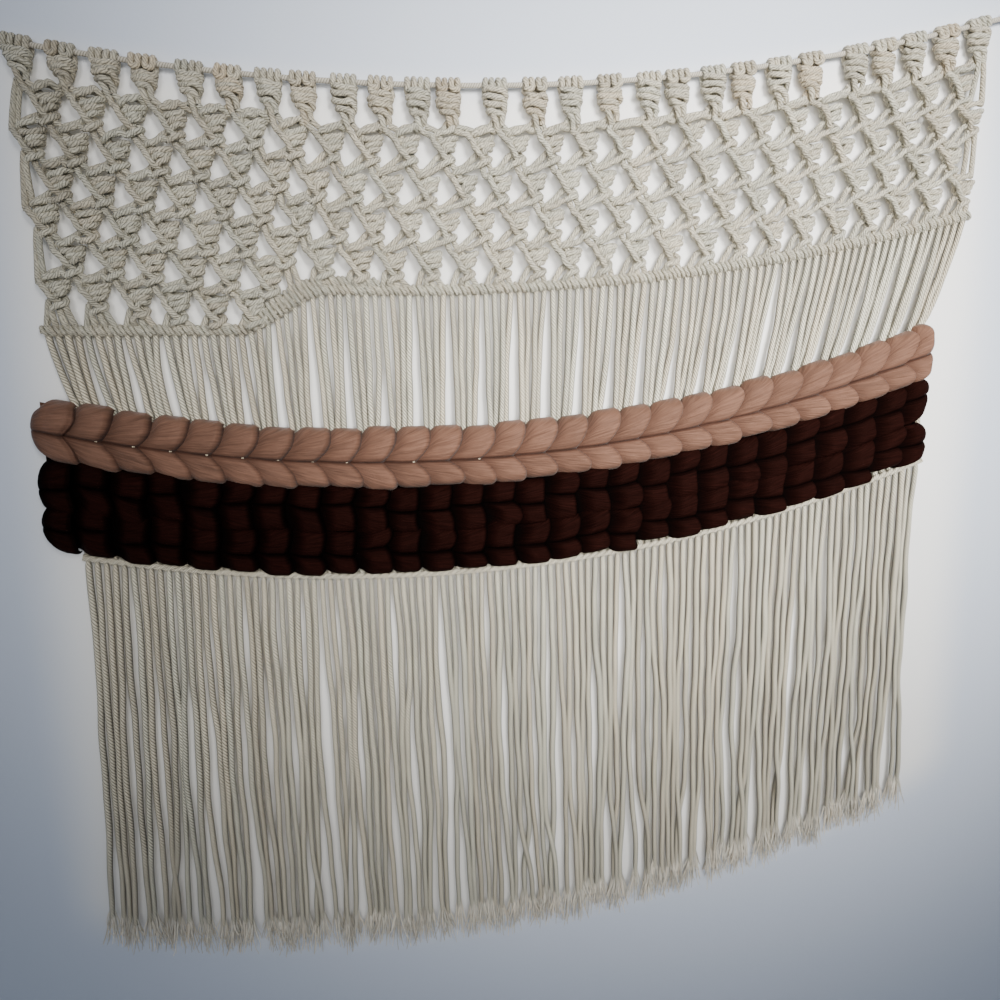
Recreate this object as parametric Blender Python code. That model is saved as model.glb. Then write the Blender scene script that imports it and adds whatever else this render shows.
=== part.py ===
"""A macrame wall hanging: cotton cord knotted from a thin holding cord, with three rows of wool roving and a long fringe.

Run it with blender --background --python part.py, or from Blender's text editor. It is in metres with +Z up.
The hanging lies in the plane Y = 0 with its face towards -Y and the wall behind it. The origin is the middle of
the holding cord. Groups of four cords run from the top to the fringe, and everything is placed by their number,
which counts from 0 at the left. A cord's number does the same.
"""

import math
import random

import bmesh
import bpy

MM = 0.001
GROUPS = 27
CORDS_IN_GROUP = 4
CORDS = GROUPS * CORDS_IN_GROUP
MIDDLE_GROUP = (GROUPS - 1) / 2
MIDDLE_CORD = (CORDS - 1) / 2
GAP = 0.4 * MM  # between two pieces that touch on the real hanging

# The holding cord, a shallow swag with a plain knot at each end
HOLDING_RADIUS = 1.3 * MM
HOLDING_SWAG = 0.39  # rise per metre, squared
HOLDING_LOW_X = -74 * MM
HOLDING_SIDES = 6
TAIL_KNOT_RADIUS = 3.2 * MM
# How far past the outermost head each ring of the cord's tail lies, and its radius
TAIL_RINGS = (
    {"past_mm": 1, "radius": HOLDING_RADIUS},
    {"past_mm": 9, "radius": HOLDING_RADIUS},
    {"past_mm": 10.5, "radius": TAIL_KNOT_RADIUS},
    {"past_mm": 14, "radius": TAIL_KNOT_RADIUS},
    {"past_mm": 15.5, "radius": HOLDING_RADIUS},
)

# The larks' heads, four loops side by side over the holding cord
HEAD_PITCH = 19.6 * MM
HEAD_HALF_WIDTH = 7.6 * MM
HEAD_HALF_DEPTH = 4.9 * MM
HEAD_TOP = 4.4 * MM
HEAD_SIDE = 2.0 * MM
HEAD_FOOT = -7.0 * MM
TUNNEL_RADIUS = 1.8 * MM
LOOP_RELIEF = 0.8 * MM
# How far each head sits from its even place, in millimetres, from the left
HEAD_SHIFTS = (
    (0, 0, 0, -1.6, 0.3, -0.8, -1.1, -3.6, -2.8)
    + (-3.8, -4.5, -8.1, -3.1, -1.4, -1.5, 0.2, 2.4, -1.3)
    + (-0.4, -2.9, -1.7, -2.7, 4.1, 1.5, 0, 0, 0)
)

# The square-knot net. Its rows lie closer at the left, where there are two more of them.
FIRST_ROW_DEPTH = {"left": 12.4 * MM, "right": 15.4 * MM}  # below the holding cord
ROW_PITCH = {"left": 17.8 * MM, "right": 19.4 * MM}
ROWS_CHANGE_X = (-157 * MM, -107 * MM)
ROWS = 7
LAST_COLUMN = {5: 5.5, 6: 5}  # the step: rows 5 and 6 stop at these groups
NET_NARROWING = 0.025  # share of the width that is lost from the holding cord to the bar
NET_NARROWS_TO_X = -9.6 * MM
NET_DRIFT = -4 * MM
NET_DRIFT_X = 25 * MM
NET_DRIFT_WIDTH = 110 * MM
KNOT_UNEVENNESS = 0.45 * MM

# A knot's corners from its centre: a shield that narrows downwards
KNOT_TOP = 10.3 * MM
SHOULDER = (7.5 * MM, 8.3 * MM)
WAIST = (3.9 * MM, -1.0 * MM)
KNOT_FOOT = -9.6 * MM
KNOT_BODY = 4.6 * MM
FIRST_KNOT_BODY = 1.5 * MM
KNOT_FRONT = 4.7 * MM
KNOT_BACK = 3.8 * MM
PAIR_FRONT = 2.7 * MM
PAIR_BACK = 2.3 * MM
PAIR_IN = (5.2 * MM, 9.9 * MM)
PAIR_OUT = (2.7 * MM, -6.4 * MM)

# The bar of half hitches under the net
BAR_BELOW_HOLDING = 105.2 * MM
BAR_LEFT_Z = -127.2 * MM
BAR_STEP_X = (-163 * MM, -114 * MM)
BAR_HALF_HEIGHT = 3.6 * MM
HITCH_CREST = 4.6 * MM
HITCH_VALLEY = 3.7 * MM
BAR_BACK = 3.4 * MM
BAR_PAST_CORDS = 3.2 * MM
GROUP_ON_BAR = (-4.2 * MM, 4.2 * MM)
PAIR_ON_BAR = (3.6 * MM, 10.4 * MM)  # where a lone pair lands, at the step

# The cords under the bar, which the wool gathers in fours
CORD_HALF_WIDTH = 1.75 * MM
CORD_FRONT = 1.9 * MM
CORD_BACK = 1.5 * MM
GATHERED_PITCH = 3.05 * MM
GATHERED_HALF_WIDTH = 1.3 * MM
STRIP_BELOW_PINK_TOP = 6 * MM
WARP_STRIP_HEIGHT = 8 * MM
STRIP_HALF_DEPTH = 1.5 * MM

# The wool band. Heights are those at its lowest place.
BAND_PITCH = 18.0 * MM
BAND_SHIFT = -6 * MM
BAND_SWAG = 0.59  # rise per metre, squared
BAND_LOW_X = -70 * MM
PINK_TOP_Z = -181 * MM
PINK_MIDDLE_Z = -199.3 * MM
PINK_FOOT_Z = -214.5 * MM
BROWN_SPLIT_Z = -238.5 * MM
BROWN_FOOT_Z = -262.7 * MM

# A stitch of roving: one fat leg over the row's middle and one under it, both leaning to the right
NODE_BEFORE_ENTRY = 11 * MM  # the stitch starts this far left of where the cords go in
NOTCH_AFTER_NODE = 7 * MM
CREST_AFTER_NODE = 16 * MM
LEG_INNER = {"after": 6.5 * MM, "share": 0.28, "front": 0.82}
LEG_OUTER = {"after": 14.5 * MM, "share": 0.64, "front": 1.0}
NODE_FRONT = 3 * MM
RIM_FRONT = 4.5 * MM
ROVING_BACK_Y = -(CORD_FRONT + GAP)
PINK_FRONT = 12 * MM
BROWN_FRONT = 10.5 * MM
SCALLOP = 3.4 * MM  # how far in the notches between stitches go, at the band's free edges
SHALLOW_SCALLOP = 1.2 * MM  # and where one row meets the next

# The twined line under the wool and the fringe
ROOT_Z = -265.8 * MM
TWINE_HALF_HEIGHT = 1.3 * MM
TWINE_CREST = 3.9 * MM
TWINE_VALLEY = 3.1 * MM
TWINE_BACK = 3.0 * MM
FRINGE_PITCH = 4.52 * MM
FRINGE_HALF_WIDTH = 1.6 * MM
FRINGE_END_Z = -500 * MM
FRINGE_END_SWAG = 0.62
FRINGE_UNEVENNESS = 4 * MM
FRINGE_JOINTS = (0.36, 0.70, 1.0)  # shares of the drop
# Sideways lean of the strands, metres to the right for each metre down
FRINGE_LEANS = (
    {"x_mm": -260, "lean": -0.030},
    {"x_mm": -180, "lean": -0.012},
    {"x_mm": -95, "lean": 0.012},
    {"x_mm": 0, "lean": 0.018},
    {"x_mm": 60, "lean": 0.012},
    {"x_mm": 130, "lean": -0.010},
    {"x_mm": 190, "lean": -0.012},
    {"x_mm": 260, "lean": 0.004},
)
# Where the strands part enough to show the wall: how wide, and at which share of the drop it is widest
FRINGE_PARTINGS = (
    {"x_mm": -191, "width_mm": 4.0, "share": 0.70},
    {"x_mm": -129, "width_mm": 6.0, "share": 0.50},
    {"x_mm": -90, "width_mm": 3.0, "share": 0.80},
    {"x_mm": -60, "width_mm": 4.0, "share": 0.55},
    {"x_mm": 8, "width_mm": 4.0, "share": 0.65},
    {"x_mm": 56, "width_mm": 3.0, "share": 0.60},
    {"x_mm": 94, "width_mm": 3.0, "share": 0.50},
    {"x_mm": 121, "width_mm": 5.0, "share": 0.75},
    {"x_mm": 162, "width_mm": 4.0, "share": 0.50},
)
PARTING_REACH = 13 * MM
PARTING_SPAN = 0.45  # share of the drop over which a parting opens and closes

COTTON = {"color": (0.58, 0.53, 0.43, 1), "roughness": 0.9}
THIN_COTTON = {"color": (0.60, 0.57, 0.48, 1), "roughness": 0.9}
PINK_WOOL = {"color": (0.40, 0.22, 0.15, 1), "roughness": 0.8}
BROWN_WOOL = {"color": (0.025, 0.010, 0.008, 1), "roughness": 0.8}

uneven = random.Random(7)


class Shell:
    """A closed surface, built from points and the faces between them."""

    def __init__(self):
        self.points = []
        self.faces = []

    def point(self, x, y, z):
        self.points.append((x, y, z))
        return len(self.points) - 1

    def face(self, *corners):
        self.faces.append(corners)

    def fan(self, middle, ring):
        """Triangles from one point to every side of a ring."""
        for here, after in zip(ring, ring[1:] + ring[:1]):
            self.face(middle, here, after)

    def sleeve(self, first, last):
        """The sides between two rings of as many points."""
        for i in range(len(first)):
            j = (i + 1) % len(first)
            self.face(first[i], first[j], last[j], last[i])

    def lace(self, upper, lower):
        """Triangles between two rows of points that both run along +X, however many each has."""
        i = j = 0
        while i < len(upper) - 1 or j < len(lower) - 1:
            more_above, more_below = i < len(upper) - 1, j < len(lower) - 1
            if more_above and more_below:
                step_above = self.points[upper[i + 1]][0] <= self.points[lower[j + 1]][0]
            else:
                step_above = more_above
            if step_above:
                self.face(upper[i], upper[i + 1], lower[j])
                i += 1
            else:
                self.face(upper[i], lower[j + 1], lower[j])
                j += 1

    def make(self, name, finish):
        """The surface as an object with its own material and its faces pointing out."""
        mesh = bpy.data.meshes.new(name)
        mesh.from_pydata(self.points, [], self.faces)
        working = bmesh.new()
        working.from_mesh(mesh)
        bmesh.ops.triangulate(working, faces=working.faces)
        bmesh.ops.recalc_face_normals(working, faces=working.faces)
        working.to_mesh(mesh)
        working.free()
        mesh.materials.append(make_material(name, finish))
        bpy.context.scene.collection.objects.link(bpy.data.objects.new(name, mesh))


def make_material(name, finish):
    made = bpy.data.materials.new(name)
    made.use_nodes = True
    shader = made.node_tree.nodes["Principled BSDF"]
    shader.inputs["Base Color"].default_value = finish["color"]
    shader.inputs["Roughness"].default_value = finish["roughness"]
    shader.inputs["Metallic"].default_value = 0.0
    return made


def blend(first, last, share):
    return first + (last - first) * share


def smooth_step(value, start, end):
    share = min(1.0, max(0.0, (value - start) / (end - start)))
    return share * share * (3 - 2 * share)


def from_table(rows, column, x):
    """A column of a table at x, straight between its rows."""
    for here, after in zip(rows, rows[1:]):
        if x <= after["x_mm"] * MM:
            share = (x / MM - here["x_mm"]) / (after["x_mm"] - here["x_mm"])
            return blend(here[column], after[column], max(0.0, share))
    return rows[-1][column]


def holding_z(x):
    return HOLDING_SWAG * ((x - HOLDING_LOW_X) ** 2 - HOLDING_LOW_X**2)


def holding_frame(x, past=0.0):
    """A function from (along, y, up) to a point, about the holding cord at x and in line with it there."""
    slope = 2 * HOLDING_SWAG * (x - HOLDING_LOW_X)
    length = math.hypot(1, slope)
    along_x, along_z = 1 / length, slope / length
    x, z = x + past * along_x, holding_z(x) + past * along_z
    return lambda along, y, up: (x + along * along_x - up * along_z, y, z + along * along_z + up * along_x)


def band_z(x, lowest):
    return lowest + BAND_SWAG * (x - BAND_LOW_X) ** 2


def bar_z(x):
    """Level at the left, then up a step, then as far under the holding cord all along."""
    return blend(BAR_LEFT_Z, holding_z(x) - BAR_BELOW_HOLDING, smooth_step(x, *BAR_STEP_X))


def net_drift(x):
    """The net's middle hangs a little to the left of its even place."""
    return NET_DRIFT * math.exp(-(((x - NET_DRIFT_X) / NET_DRIFT_WIDTH) ** 2))


def head_x(group):
    return (group - MIDDLE_GROUP) * HEAD_PITCH + HEAD_SHIFTS[group] * MM


def entry_x(group):
    """Where a group of cords goes into the wool band."""
    return BAND_SHIFT + (group - MIDDLE_GROUP) * BAND_PITCH


def node_x(stitch):
    return entry_x(stitch) - NODE_BEFORE_ENTRY


def bar_x(cord):
    """Where a cord leaves the bar."""
    even = (cord - MIDDLE_CORD) * HEAD_PITCH * (1 - NET_NARROWING) / CORDS_IN_GROUP
    return even + net_drift(even)


def gathered_x(cord):
    """Where a cord goes into the wool, close to the three others of its group."""
    group, place = divmod(cord, CORDS_IN_GROUP)
    return entry_x(group) + (place - (CORDS_IN_GROUP - 1) / 2) * GATHERED_PITCH


def knot_place(row, column):
    """The centre of a knot, level with the openings beside it. The columns of odd rows are half numbers."""
    even = (column - MIDDLE_GROUP) * HEAD_PITCH
    to_right = smooth_step(even, *ROWS_CHANGE_X)
    first = blend(FIRST_ROW_DEPTH["left"], FIRST_ROW_DEPTH["right"], to_right)
    depth = first + row * blend(ROW_PITCH["left"], ROW_PITCH["right"], to_right)
    if row == 0:
        return head_x(int(column)), holding_z(head_x(int(column))) - depth
    narrowed = 1 - NET_NARROWING * depth / BAR_BELOW_HOLDING
    x = NET_NARROWS_TO_X + (even - NET_NARROWS_TO_X) * narrowed + net_drift(even)
    x += uneven.uniform(-1, 1) * KNOT_UNEVENNESS
    depth += uneven.uniform(-1, 1) * KNOT_UNEVENNESS
    return x, holding_z(even) - depth


def knot_columns(row):
    """The columns of a row, whole numbers in even rows and half numbers in odd ones."""
    column = 0.5 * (row % 2)
    while column <= LAST_COLUMN.get(row, GROUPS - 1):
        yield column
        column += 1


def add_knot(net, row, column):
    """A knot's corners by name. Those in the plane of the net belong to its front and its back alike."""
    x, z = knot_place(row, column)
    body = KNOT_BODY if row else FIRST_KNOT_BODY
    knot = {
        "row": row,
        "x": x,
        "foot": net.point(x, 0, z + KNOT_FOOT),
        "body": {"front": net.point(x, -KNOT_FRONT, z + body), "back": net.point(x, KNOT_BACK, z + body)},
    }
    for side, way in (("left", -1), ("right", 1)):
        knot[side] = {
            "shoulder": net.point(x + way * SHOULDER[0], 0, z + SHOULDER[1]),
            "waist": net.point(x + way * WAIST[0], 0, z + WAIST[1]),
        }
        for face, y in (("front", -PAIR_FRONT), ("back", PAIR_BACK)):
            if row:
                knot[side]["in_" + face] = net.point(x + way * PAIR_IN[0], y, z + PAIR_IN[1])
    if row:
        knot["top"] = net.point(x, 0, z + KNOT_TOP)
    return knot


def add_out(net, knot, side):
    """The ridge of the pair of cords that leaves a knot's foot on one side."""
    x, _, z = net.points[knot["foot"]]
    x += PAIR_OUT[0] * (1 if side == "right" else -1)
    z += PAIR_OUT[1] - KNOT_FOOT
    knot[side]["out_front"] = net.point(x, -PAIR_FRONT, z)
    knot[side]["out_back"] = net.point(x, PAIR_BACK, z)


def tie_pair(net, knot, side, last):
    """A pair of cords from a knot to the four corners where it ends: inner, front, outer and back."""
    first = (knot["foot"], knot[side]["out_front"], knot[side]["waist"], knot[side]["out_back"])
    net.sleeve(first, last)


def arrival(knot, side, inner, outer):
    return (inner, knot[side]["in_front"], outer, knot[side]["in_back"])


def add_landing(net, x, ends):
    """The four corners where cords land on the bar, which are part of the bar's top."""
    left, right = x + ends[0], x + ends[1]
    middle = (left + right) / 2
    return {
        "left": net.point(left, 0, bar_z(left) + BAR_HALF_HEIGHT),
        "front": net.point(middle, -PAIR_FRONT, bar_z(middle) + BAR_HALF_HEIGHT),
        "right": net.point(right, 0, bar_z(right) + BAR_HALF_HEIGHT),
        "back": net.point(middle, PAIR_BACK, bar_z(middle) + BAR_HALF_HEIGHT),
    }


def tie_below(net, knots, row, column):
    """Joins a knot to what its two pairs run to, and returns where it lands on the bar, if it does."""
    knot = knots[row, column]
    goals = {}
    for side, way in (("left", -1), ("right", 1)):
        beside = column + way / 2
        past_edge = beside < 0 or beside > GROUPS - 1
        goals[side] = knots.get((row + 2, column) if past_edge else (row + 1, beside))
    if goals["left"] is None and goals["right"] is None:
        landing = add_landing(net, knot["x"], GROUP_ON_BAR)
        knot["landing"] = landing
        return landing
    landing = None
    for side, other in (("left", "right"), ("right", "left")):
        add_out(net, knot, side)
        goal = goals[side]
        if goal is None:
            landing = add_landing(net, knot["x"], PAIR_ON_BAR)
            tie_pair(net, knot, side, (landing["left"], landing["front"], landing["right"], landing["back"]))
        elif goal["row"] == row + 2:  # an edge cord, which misses the row between
            tie_pair(net, knot, side, arrival(goal, side, goal["top"], goal[side]["shoulder"]))
        else:
            tie_pair(net, knot, side, arrival(goal, other, goal[other]["shoulder"], goal["top"]))
    return landing


def close_knot(net, knot):
    """The knot's front and back, each a fan from its raised body to the ring of its corners."""
    left, right = knot["left"], knot["right"]
    for face in ("front", "back"):
        if knot["row"]:
            over = [left["in_" + face], knot["top"], right["in_" + face]]
        else:
            over = knot["head"][face]
        if "landing" in knot:
            under = [knot["landing"]["right"], knot["landing"][face], knot["landing"]["left"]]
        else:
            under = [right["out_" + face], knot["foot"], left["out_" + face]]
        ring = [left["waist"], left["shoulder"], *over, right["shoulder"], right["waist"], *under]
        net.fan(knot["body"][face], ring)


def add_head(net, knot):
    """Four loops over the holding cord, with a tunnel for it. They end in the top of the knot under them."""
    place = holding_frame(knot["x"])
    rows = []
    for y, up in (
        (-HEAD_HALF_DEPTH, HEAD_FOOT),
        (-HEAD_HALF_DEPTH, HEAD_SIDE),
        (0, HEAD_TOP),
        (HEAD_HALF_DEPTH, HEAD_SIDE),
        (HEAD_HALF_DEPTH, HEAD_FOOT),
    ):
        row = []
        for loop_edge in range(CORDS_IN_GROUP + 1):
            along = (2 * loop_edge / CORDS_IN_GROUP - 1) * HEAD_HALF_WIDTH
            relief = LOOP_RELIEF if loop_edge == CORDS_IN_GROUP // 2 else 0
            if y:
                row.append(net.point(*place(along, y - math.copysign(relief, y), up)))
            else:
                row.append(net.point(*place(along, y, up - relief)))
        rows.append(row)
    for upper, lower in zip(rows, rows[1:]):
        net.lace(upper, lower)
    knot["head"] = {"front": rows[0], "back": rows[-1]}
    # The tunnel's corners, from its lower front over its top and round to its foot, as the head's outline goes
    angles = [math.radians(210 - 60 * k) for k in range(6)]
    mouths = {}
    for side, along, end in (("left", -HEAD_HALF_WIDTH, 0), ("right", HEAD_HALF_WIDTH, -1)):
        mouths[side] = [
            net.point(*place(along, TUNNEL_RADIUS * math.cos(a), TUNNEL_RADIUS * math.sin(a))) for a in angles
        ]
        outline = [row[end] for row in rows] + [knot[side]["shoulder"]]
        net.sleeve(outline, mouths[side])
    net.sleeve(mouths["left"], mouths["right"])


def add_cord_ring(shell, x, z, half_width):
    """The three corners of a cord, the flat one at its back: left, front and right."""
    return (
        shell.point(x - half_width, CORD_BACK, z),
        shell.point(x, -CORD_FRONT, z),
        shell.point(x + half_width, CORD_BACK, z),
    )


def add_root_row(shell, rings, ends):
    """The flat face between the cords of a row, where they are fused to a bar or a strip."""
    left_end, right_end = ends
    before = left_end
    for left, front, right in rings:
        shell.face(before[1], left, front, before[0])
        before = (front, right)
    shell.face(before[1], right_end[1], right_end[0], before[0])
    front_row = [left_end[0]] + [ring[1] for ring in rings] + [right_end[0]]
    back_row = [left_end[1]] + [corner for ring in rings for corner in (ring[0], ring[2])] + [right_end[1]]
    return front_row, back_row


def add_bar(shell, top, rings, sizes):
    """A knotted bar: its top rows are given, cords hang from its foot, and its front has a hitch for each cord."""
    height, half_height, crest, valley, back = sizes
    crest_row, back_row = [], []
    centres = [shell.points[ring[1]][0] for ring in rings]
    half_pitch = (centres[1] - centres[0]) / 2
    ends_x = (shell.points[top["front"][0]][0], shell.points[top["front"][-1]][0])
    ends, caps = [], []
    for x in ends_x:
        front = shell.point(x, -CORD_FRONT, height(x) - half_height)
        foot_back = shell.point(x, CORD_BACK, height(x) - half_height)
        ends.append((front, foot_back))
        caps.append((shell.point(x, -valley, height(x)), shell.point(x, back, height(x))))
    for number, x in enumerate(centres):
        crest_row.append(shell.point(x, -crest, height(x)))
        if number < len(centres) - 1:
            crest_row.append(shell.point(x + half_pitch, -valley, height(x + half_pitch)))
        if number % CORDS_IN_GROUP == 1:
            back_row.append(shell.point(x, back, height(x)))
    crest_row = [caps[0][0], *crest_row, caps[1][0]]
    back_row = [caps[0][1], *back_row, caps[1][1]]
    front_row, foot_row = add_root_row(shell, rings, ends)
    shell.lace(top["front"], crest_row)
    shell.lace(crest_row, front_row)
    shell.lace(foot_row, back_row)
    shell.lace(back_row, top["back"])
    for end, cap, above in ((ends[0], caps[0], 0), (ends[1], caps[1], -1)):
        corners = [top["front"][above], cap[0], end[0], end[1], cap[1]]
        if top["back"][above] != top["front"][above]:
            corners.append(top["back"][above])
        shell.face(*corners)


def build_net():
    net = Shell()
    knots = {(row, column): add_knot(net, row, column) for row in range(ROWS) for column in knot_columns(row)}
    landings = []
    for row, column in knots:
        landing = tie_below(net, knots, row, column)
        if landing:
            landings.append(landing)
        if row == 0:
            add_head(net, knots[row, column])
    for knot in knots.values():
        close_knot(net, knot)
    landings.sort(key=lambda landing: net.points[landing["left"]][0])

    # The bar's top runs from landing to landing, and its ends are shared by the front and the back
    ends = [bar_x(0) - BAR_PAST_CORDS, bar_x(CORDS - 1) + BAR_PAST_CORDS]
    first, last = (net.point(x, 0, bar_z(x) + BAR_HALF_HEIGHT) for x in ends)
    top = {
        face: [first] + [landing[k] for landing in landings for k in ("left", face, "right")] + [last]
        for face in ("front", "back")
    }
    leaving = [
        add_cord_ring(net, bar_x(cord), bar_z(bar_x(cord)) - BAR_HALF_HEIGHT, CORD_HALF_WIDTH)
        for cord in range(CORDS)
    ]
    add_bar(net, top, leaving, (bar_z, BAR_HALF_HEIGHT, HITCH_CREST, HITCH_VALLEY, BAR_BACK))

    def strip_z(x):
        return band_z(x, PINK_TOP_Z - STRIP_BELOW_PINK_TOP)

    entering = [
        add_cord_ring(net, gathered_x(cord), strip_z(gathered_x(cord)), GATHERED_HALF_WIDTH)
        for cord in range(CORDS)
    ]
    for upper, lower in zip(leaving, entering):
        net.sleeve(upper, lower)
    close_strip(net, entering, strip_z)
    net.make("net", COTTON)


def strip_ends():
    """The left and right ends of the strips behind the wool."""
    return entry_x(0) - BAND_PITCH / 2, entry_x(GROUPS - 1) + BAND_PITCH / 2


def strip_row(shell, y, height):
    """A row of points along a strip, one for each group and one at each end."""
    left, right = strip_ends()
    middle = [entry_x(group) for group in range(GROUPS)]
    return [shell.point(x, y, height(x)) for x in (left, *middle, right)]


def close_strip(net, rings, strip_z):
    """The strip that the gathered cords end in, behind the wool."""
    ends = [
        (net.point(x, -CORD_FRONT, strip_z(x)), net.point(x, CORD_BACK, strip_z(x))) for x in strip_ends()
    ]
    front_row, back_row = add_root_row(net, rings, ends)
    lower_front, lower_back = (
        strip_row(net, y, lambda x: strip_z(x) - WARP_STRIP_HEIGHT) for y in (-STRIP_HALF_DEPTH, CORD_BACK)
    )
    net.lace(front_row, lower_front)
    net.lace(lower_front, lower_back)
    net.lace(lower_back, back_row)
    for end in (0, -1):
        net.face(front_row[end], lower_front[end], lower_back[end], back_row[end])


def build_holding_cord():
    """A six-sided cord through every head, with its tails past the outermost ones."""
    cord = Shell()
    stations = [(head_x(group), 0.0, HOLDING_RADIUS) for group in range(GROUPS)]
    for group, way in ((0, -1), (GROUPS - 1, 1)):
        tail = [
            (head_x(group), way * (HEAD_HALF_WIDTH + ring["past_mm"] * MM), ring["radius"]) for ring in TAIL_RINGS
        ]
        stations = tail[::-1] + stations if way < 0 else stations + tail
    rings = []
    for x, past, radius in stations:
        place = holding_frame(x, past)
        angles = [math.tau * (k + 0.5) / HOLDING_SIDES for k in range(HOLDING_SIDES)]
        rings.append([cord.point(*place(0, radius * math.cos(a), radius * math.sin(a))) for a in angles])
    for first, last in zip(rings, rings[1:]):
        cord.sleeve(first, last)
    cord.face(*rings[0])
    cord.face(*rings[-1])
    cord.make("holding_cord", THIN_COTTON)


def build_roving(name, lowest, scallops, front, finish):
    """A row of stitches. Each is a leg over the row's middle and one under it, raised from a flat back."""
    roving = Shell()
    top_z, middle_z, foot_z = lowest
    rim_y = ROVING_BACK_Y - RIM_FRONT
    nodes, edges = [], {"top": [], "foot": []}
    for stitch in range(GROUPS + 1):
        x = node_x(stitch)
        nodes.append(roving.point(x, ROVING_BACK_Y - NODE_FRONT, band_z(x, middle_z)))
        for edge, outer_z, inwards in (("top", top_z, -scallops[0]), ("foot", foot_z, scallops[1])):
            places = [(x + NOTCH_AFTER_NODE, outer_z + inwards)]
            if stitch < GROUPS:
                places.append((x + CREST_AFTER_NODE, outer_z))
            for at, z in places:
                edges[edge].append(
                    (roving.point(at, rim_y, band_z(at, z)), roving.point(at, ROVING_BACK_Y, band_z(at, z)))
                )
    for edge, outer_z in (("top", top_z), ("foot", foot_z)):
        for stitch in range(GROUPS):
            ridge = []
            for leg in (LEG_INNER, LEG_OUTER):
                x = node_x(stitch) + leg["after"]
                z = band_z(x, blend(middle_z, outer_z, leg["share"]))
                ridge.append(roving.point(x, ROVING_BACK_Y - front * leg["front"], z))
            inner, outer = ridge
            notch, crest, next_notch = (pair[0] for pair in edges[edge][2 * stitch : 2 * stitch + 3])
            here, after = nodes[stitch : stitch + 2]
            roving.face(inner, here, after)
            roving.face(inner, after, outer)
            roving.face(outer, after, next_notch)
            roving.face(outer, next_notch, crest)
            roving.face(outer, crest, notch)
            roving.face(outer, notch, inner)
            roving.face(inner, notch, here)
        for (rim, back), (next_rim, next_back) in zip(edges[edge], edges[edge][1:]):
            roving.face(rim, next_rim, next_back, back)
    roving.lace([back for _, back in edges["top"]], [back for _, back in edges["foot"]])
    for end in (0, -1):
        (top_rim, top_back), (foot_rim, foot_back) = edges["top"][end], edges["foot"][end]
        roving.face(top_rim, nodes[end], foot_rim, foot_back, top_back)
    roving.make(name, finish)


def fringe_x(cord, share):
    """A strand's place at a share of its drop: its root, its lean and the partings near it."""
    root = BAND_SHIFT + (cord - MIDDLE_CORD) * FRINGE_PITCH
    drop = (ROOT_Z - FRINGE_END_Z) * share
    x = root + from_table(FRINGE_LEANS, "lean", root) * drop
    for parting in FRINGE_PARTINGS:
        away = root - parting["x_mm"] * MM
        opening = math.exp(-(((share - parting["share"]) / PARTING_SPAN) ** 2)) * min(1.0, share * 3)
        x += math.copysign(0.5, away) * parting["width_mm"] * MM * opening * math.exp(-abs(away) / PARTING_REACH)
    return x


def build_fringe():
    """The cords behind the wool as one strip, the twined line under it, and a strand for every cord."""
    fringe = Shell()

    def strip_top(x):
        return band_z(x, PINK_TOP_Z - STRIP_BELOW_PINK_TOP - WARP_STRIP_HEIGHT - GAP)

    def twine_z(x):
        return band_z(x, ROOT_Z + TWINE_HALF_HEIGHT)

    upper = [strip_row(fringe, y, strip_top) for y in (-STRIP_HALF_DEPTH, CORD_BACK)]
    lower = [
        strip_row(fringe, y, lambda x: twine_z(x) + TWINE_HALF_HEIGHT) for y in (-STRIP_HALF_DEPTH, CORD_BACK)
    ]
    fringe.lace(*upper)
    for above, below in zip(upper, lower):
        fringe.lace(above, below)
    for end in (0, -1):
        fringe.face(upper[0][end], lower[0][end], lower[1][end], upper[1][end])
    roots = []
    for cord in range(CORDS):
        x = fringe_x(cord, 0)
        roots.append(add_cord_ring(fringe, x, band_z(x, ROOT_Z), FRINGE_HALF_WIDTH))
    top = {"front": lower[0], "back": lower[1]}
    add_bar(fringe, top, roots, (twine_z, TWINE_HALF_HEIGHT, TWINE_CREST, TWINE_VALLEY, TWINE_BACK))
    for cord, ring in enumerate(roots):
        root_x = fringe_x(cord, 0)
        root_z = band_z(root_x, ROOT_Z)
        end_z = FRINGE_END_Z + FRINGE_END_SWAG * (root_x - BAND_LOW_X) ** 2
        end_z += uneven.uniform(-1, 1) * FRINGE_UNEVENNESS
        for share in FRINGE_JOINTS:
            after = add_cord_ring(fringe, fringe_x(cord, share), blend(root_z, end_z, share), FRINGE_HALF_WIDTH)
            fringe.sleeve(ring, after)
            ring = after
        fringe.face(*ring)
    fringe.make("fringe", COTTON)


def main():
    for old in list(bpy.data.objects):
        bpy.data.objects.remove(old)
    build_holding_cord()
    build_net()
    row_gap = 2 * GAP
    build_roving(
        "pink_braid",
        (PINK_TOP_Z, PINK_MIDDLE_Z, PINK_FOOT_Z),
        (SCALLOP, SHALLOW_SCALLOP),
        PINK_FRONT,
        PINK_WOOL,
    )
    build_roving(
        "brown_braid_upper",
        (PINK_FOOT_Z - row_gap, (PINK_FOOT_Z + BROWN_SPLIT_Z) / 2, BROWN_SPLIT_Z + row_gap),
        (SHALLOW_SCALLOP, SHALLOW_SCALLOP),
        BROWN_FRONT,
        BROWN_WOOL,
    )
    build_roving(
        "brown_braid_lower",
        (BROWN_SPLIT_Z, (BROWN_SPLIT_Z + BROWN_FOOT_Z) / 2, BROWN_FOOT_Z),
        (SHALLOW_SCALLOP, SCALLOP),
        BROWN_FRONT,
        BROWN_WOOL,
    )
    build_fringe()


main()
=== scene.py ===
"""Looks for a macrame wall hanging: every cord, knot, stitch of wool and frayed end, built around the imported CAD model.

The layout repeats the sizes of the part's source, so that each piece lies where its solid does. Sizes are in metres.
The face of the hanging looks towards -Y, and the origin is the middle of the holding cord.
"""

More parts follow.
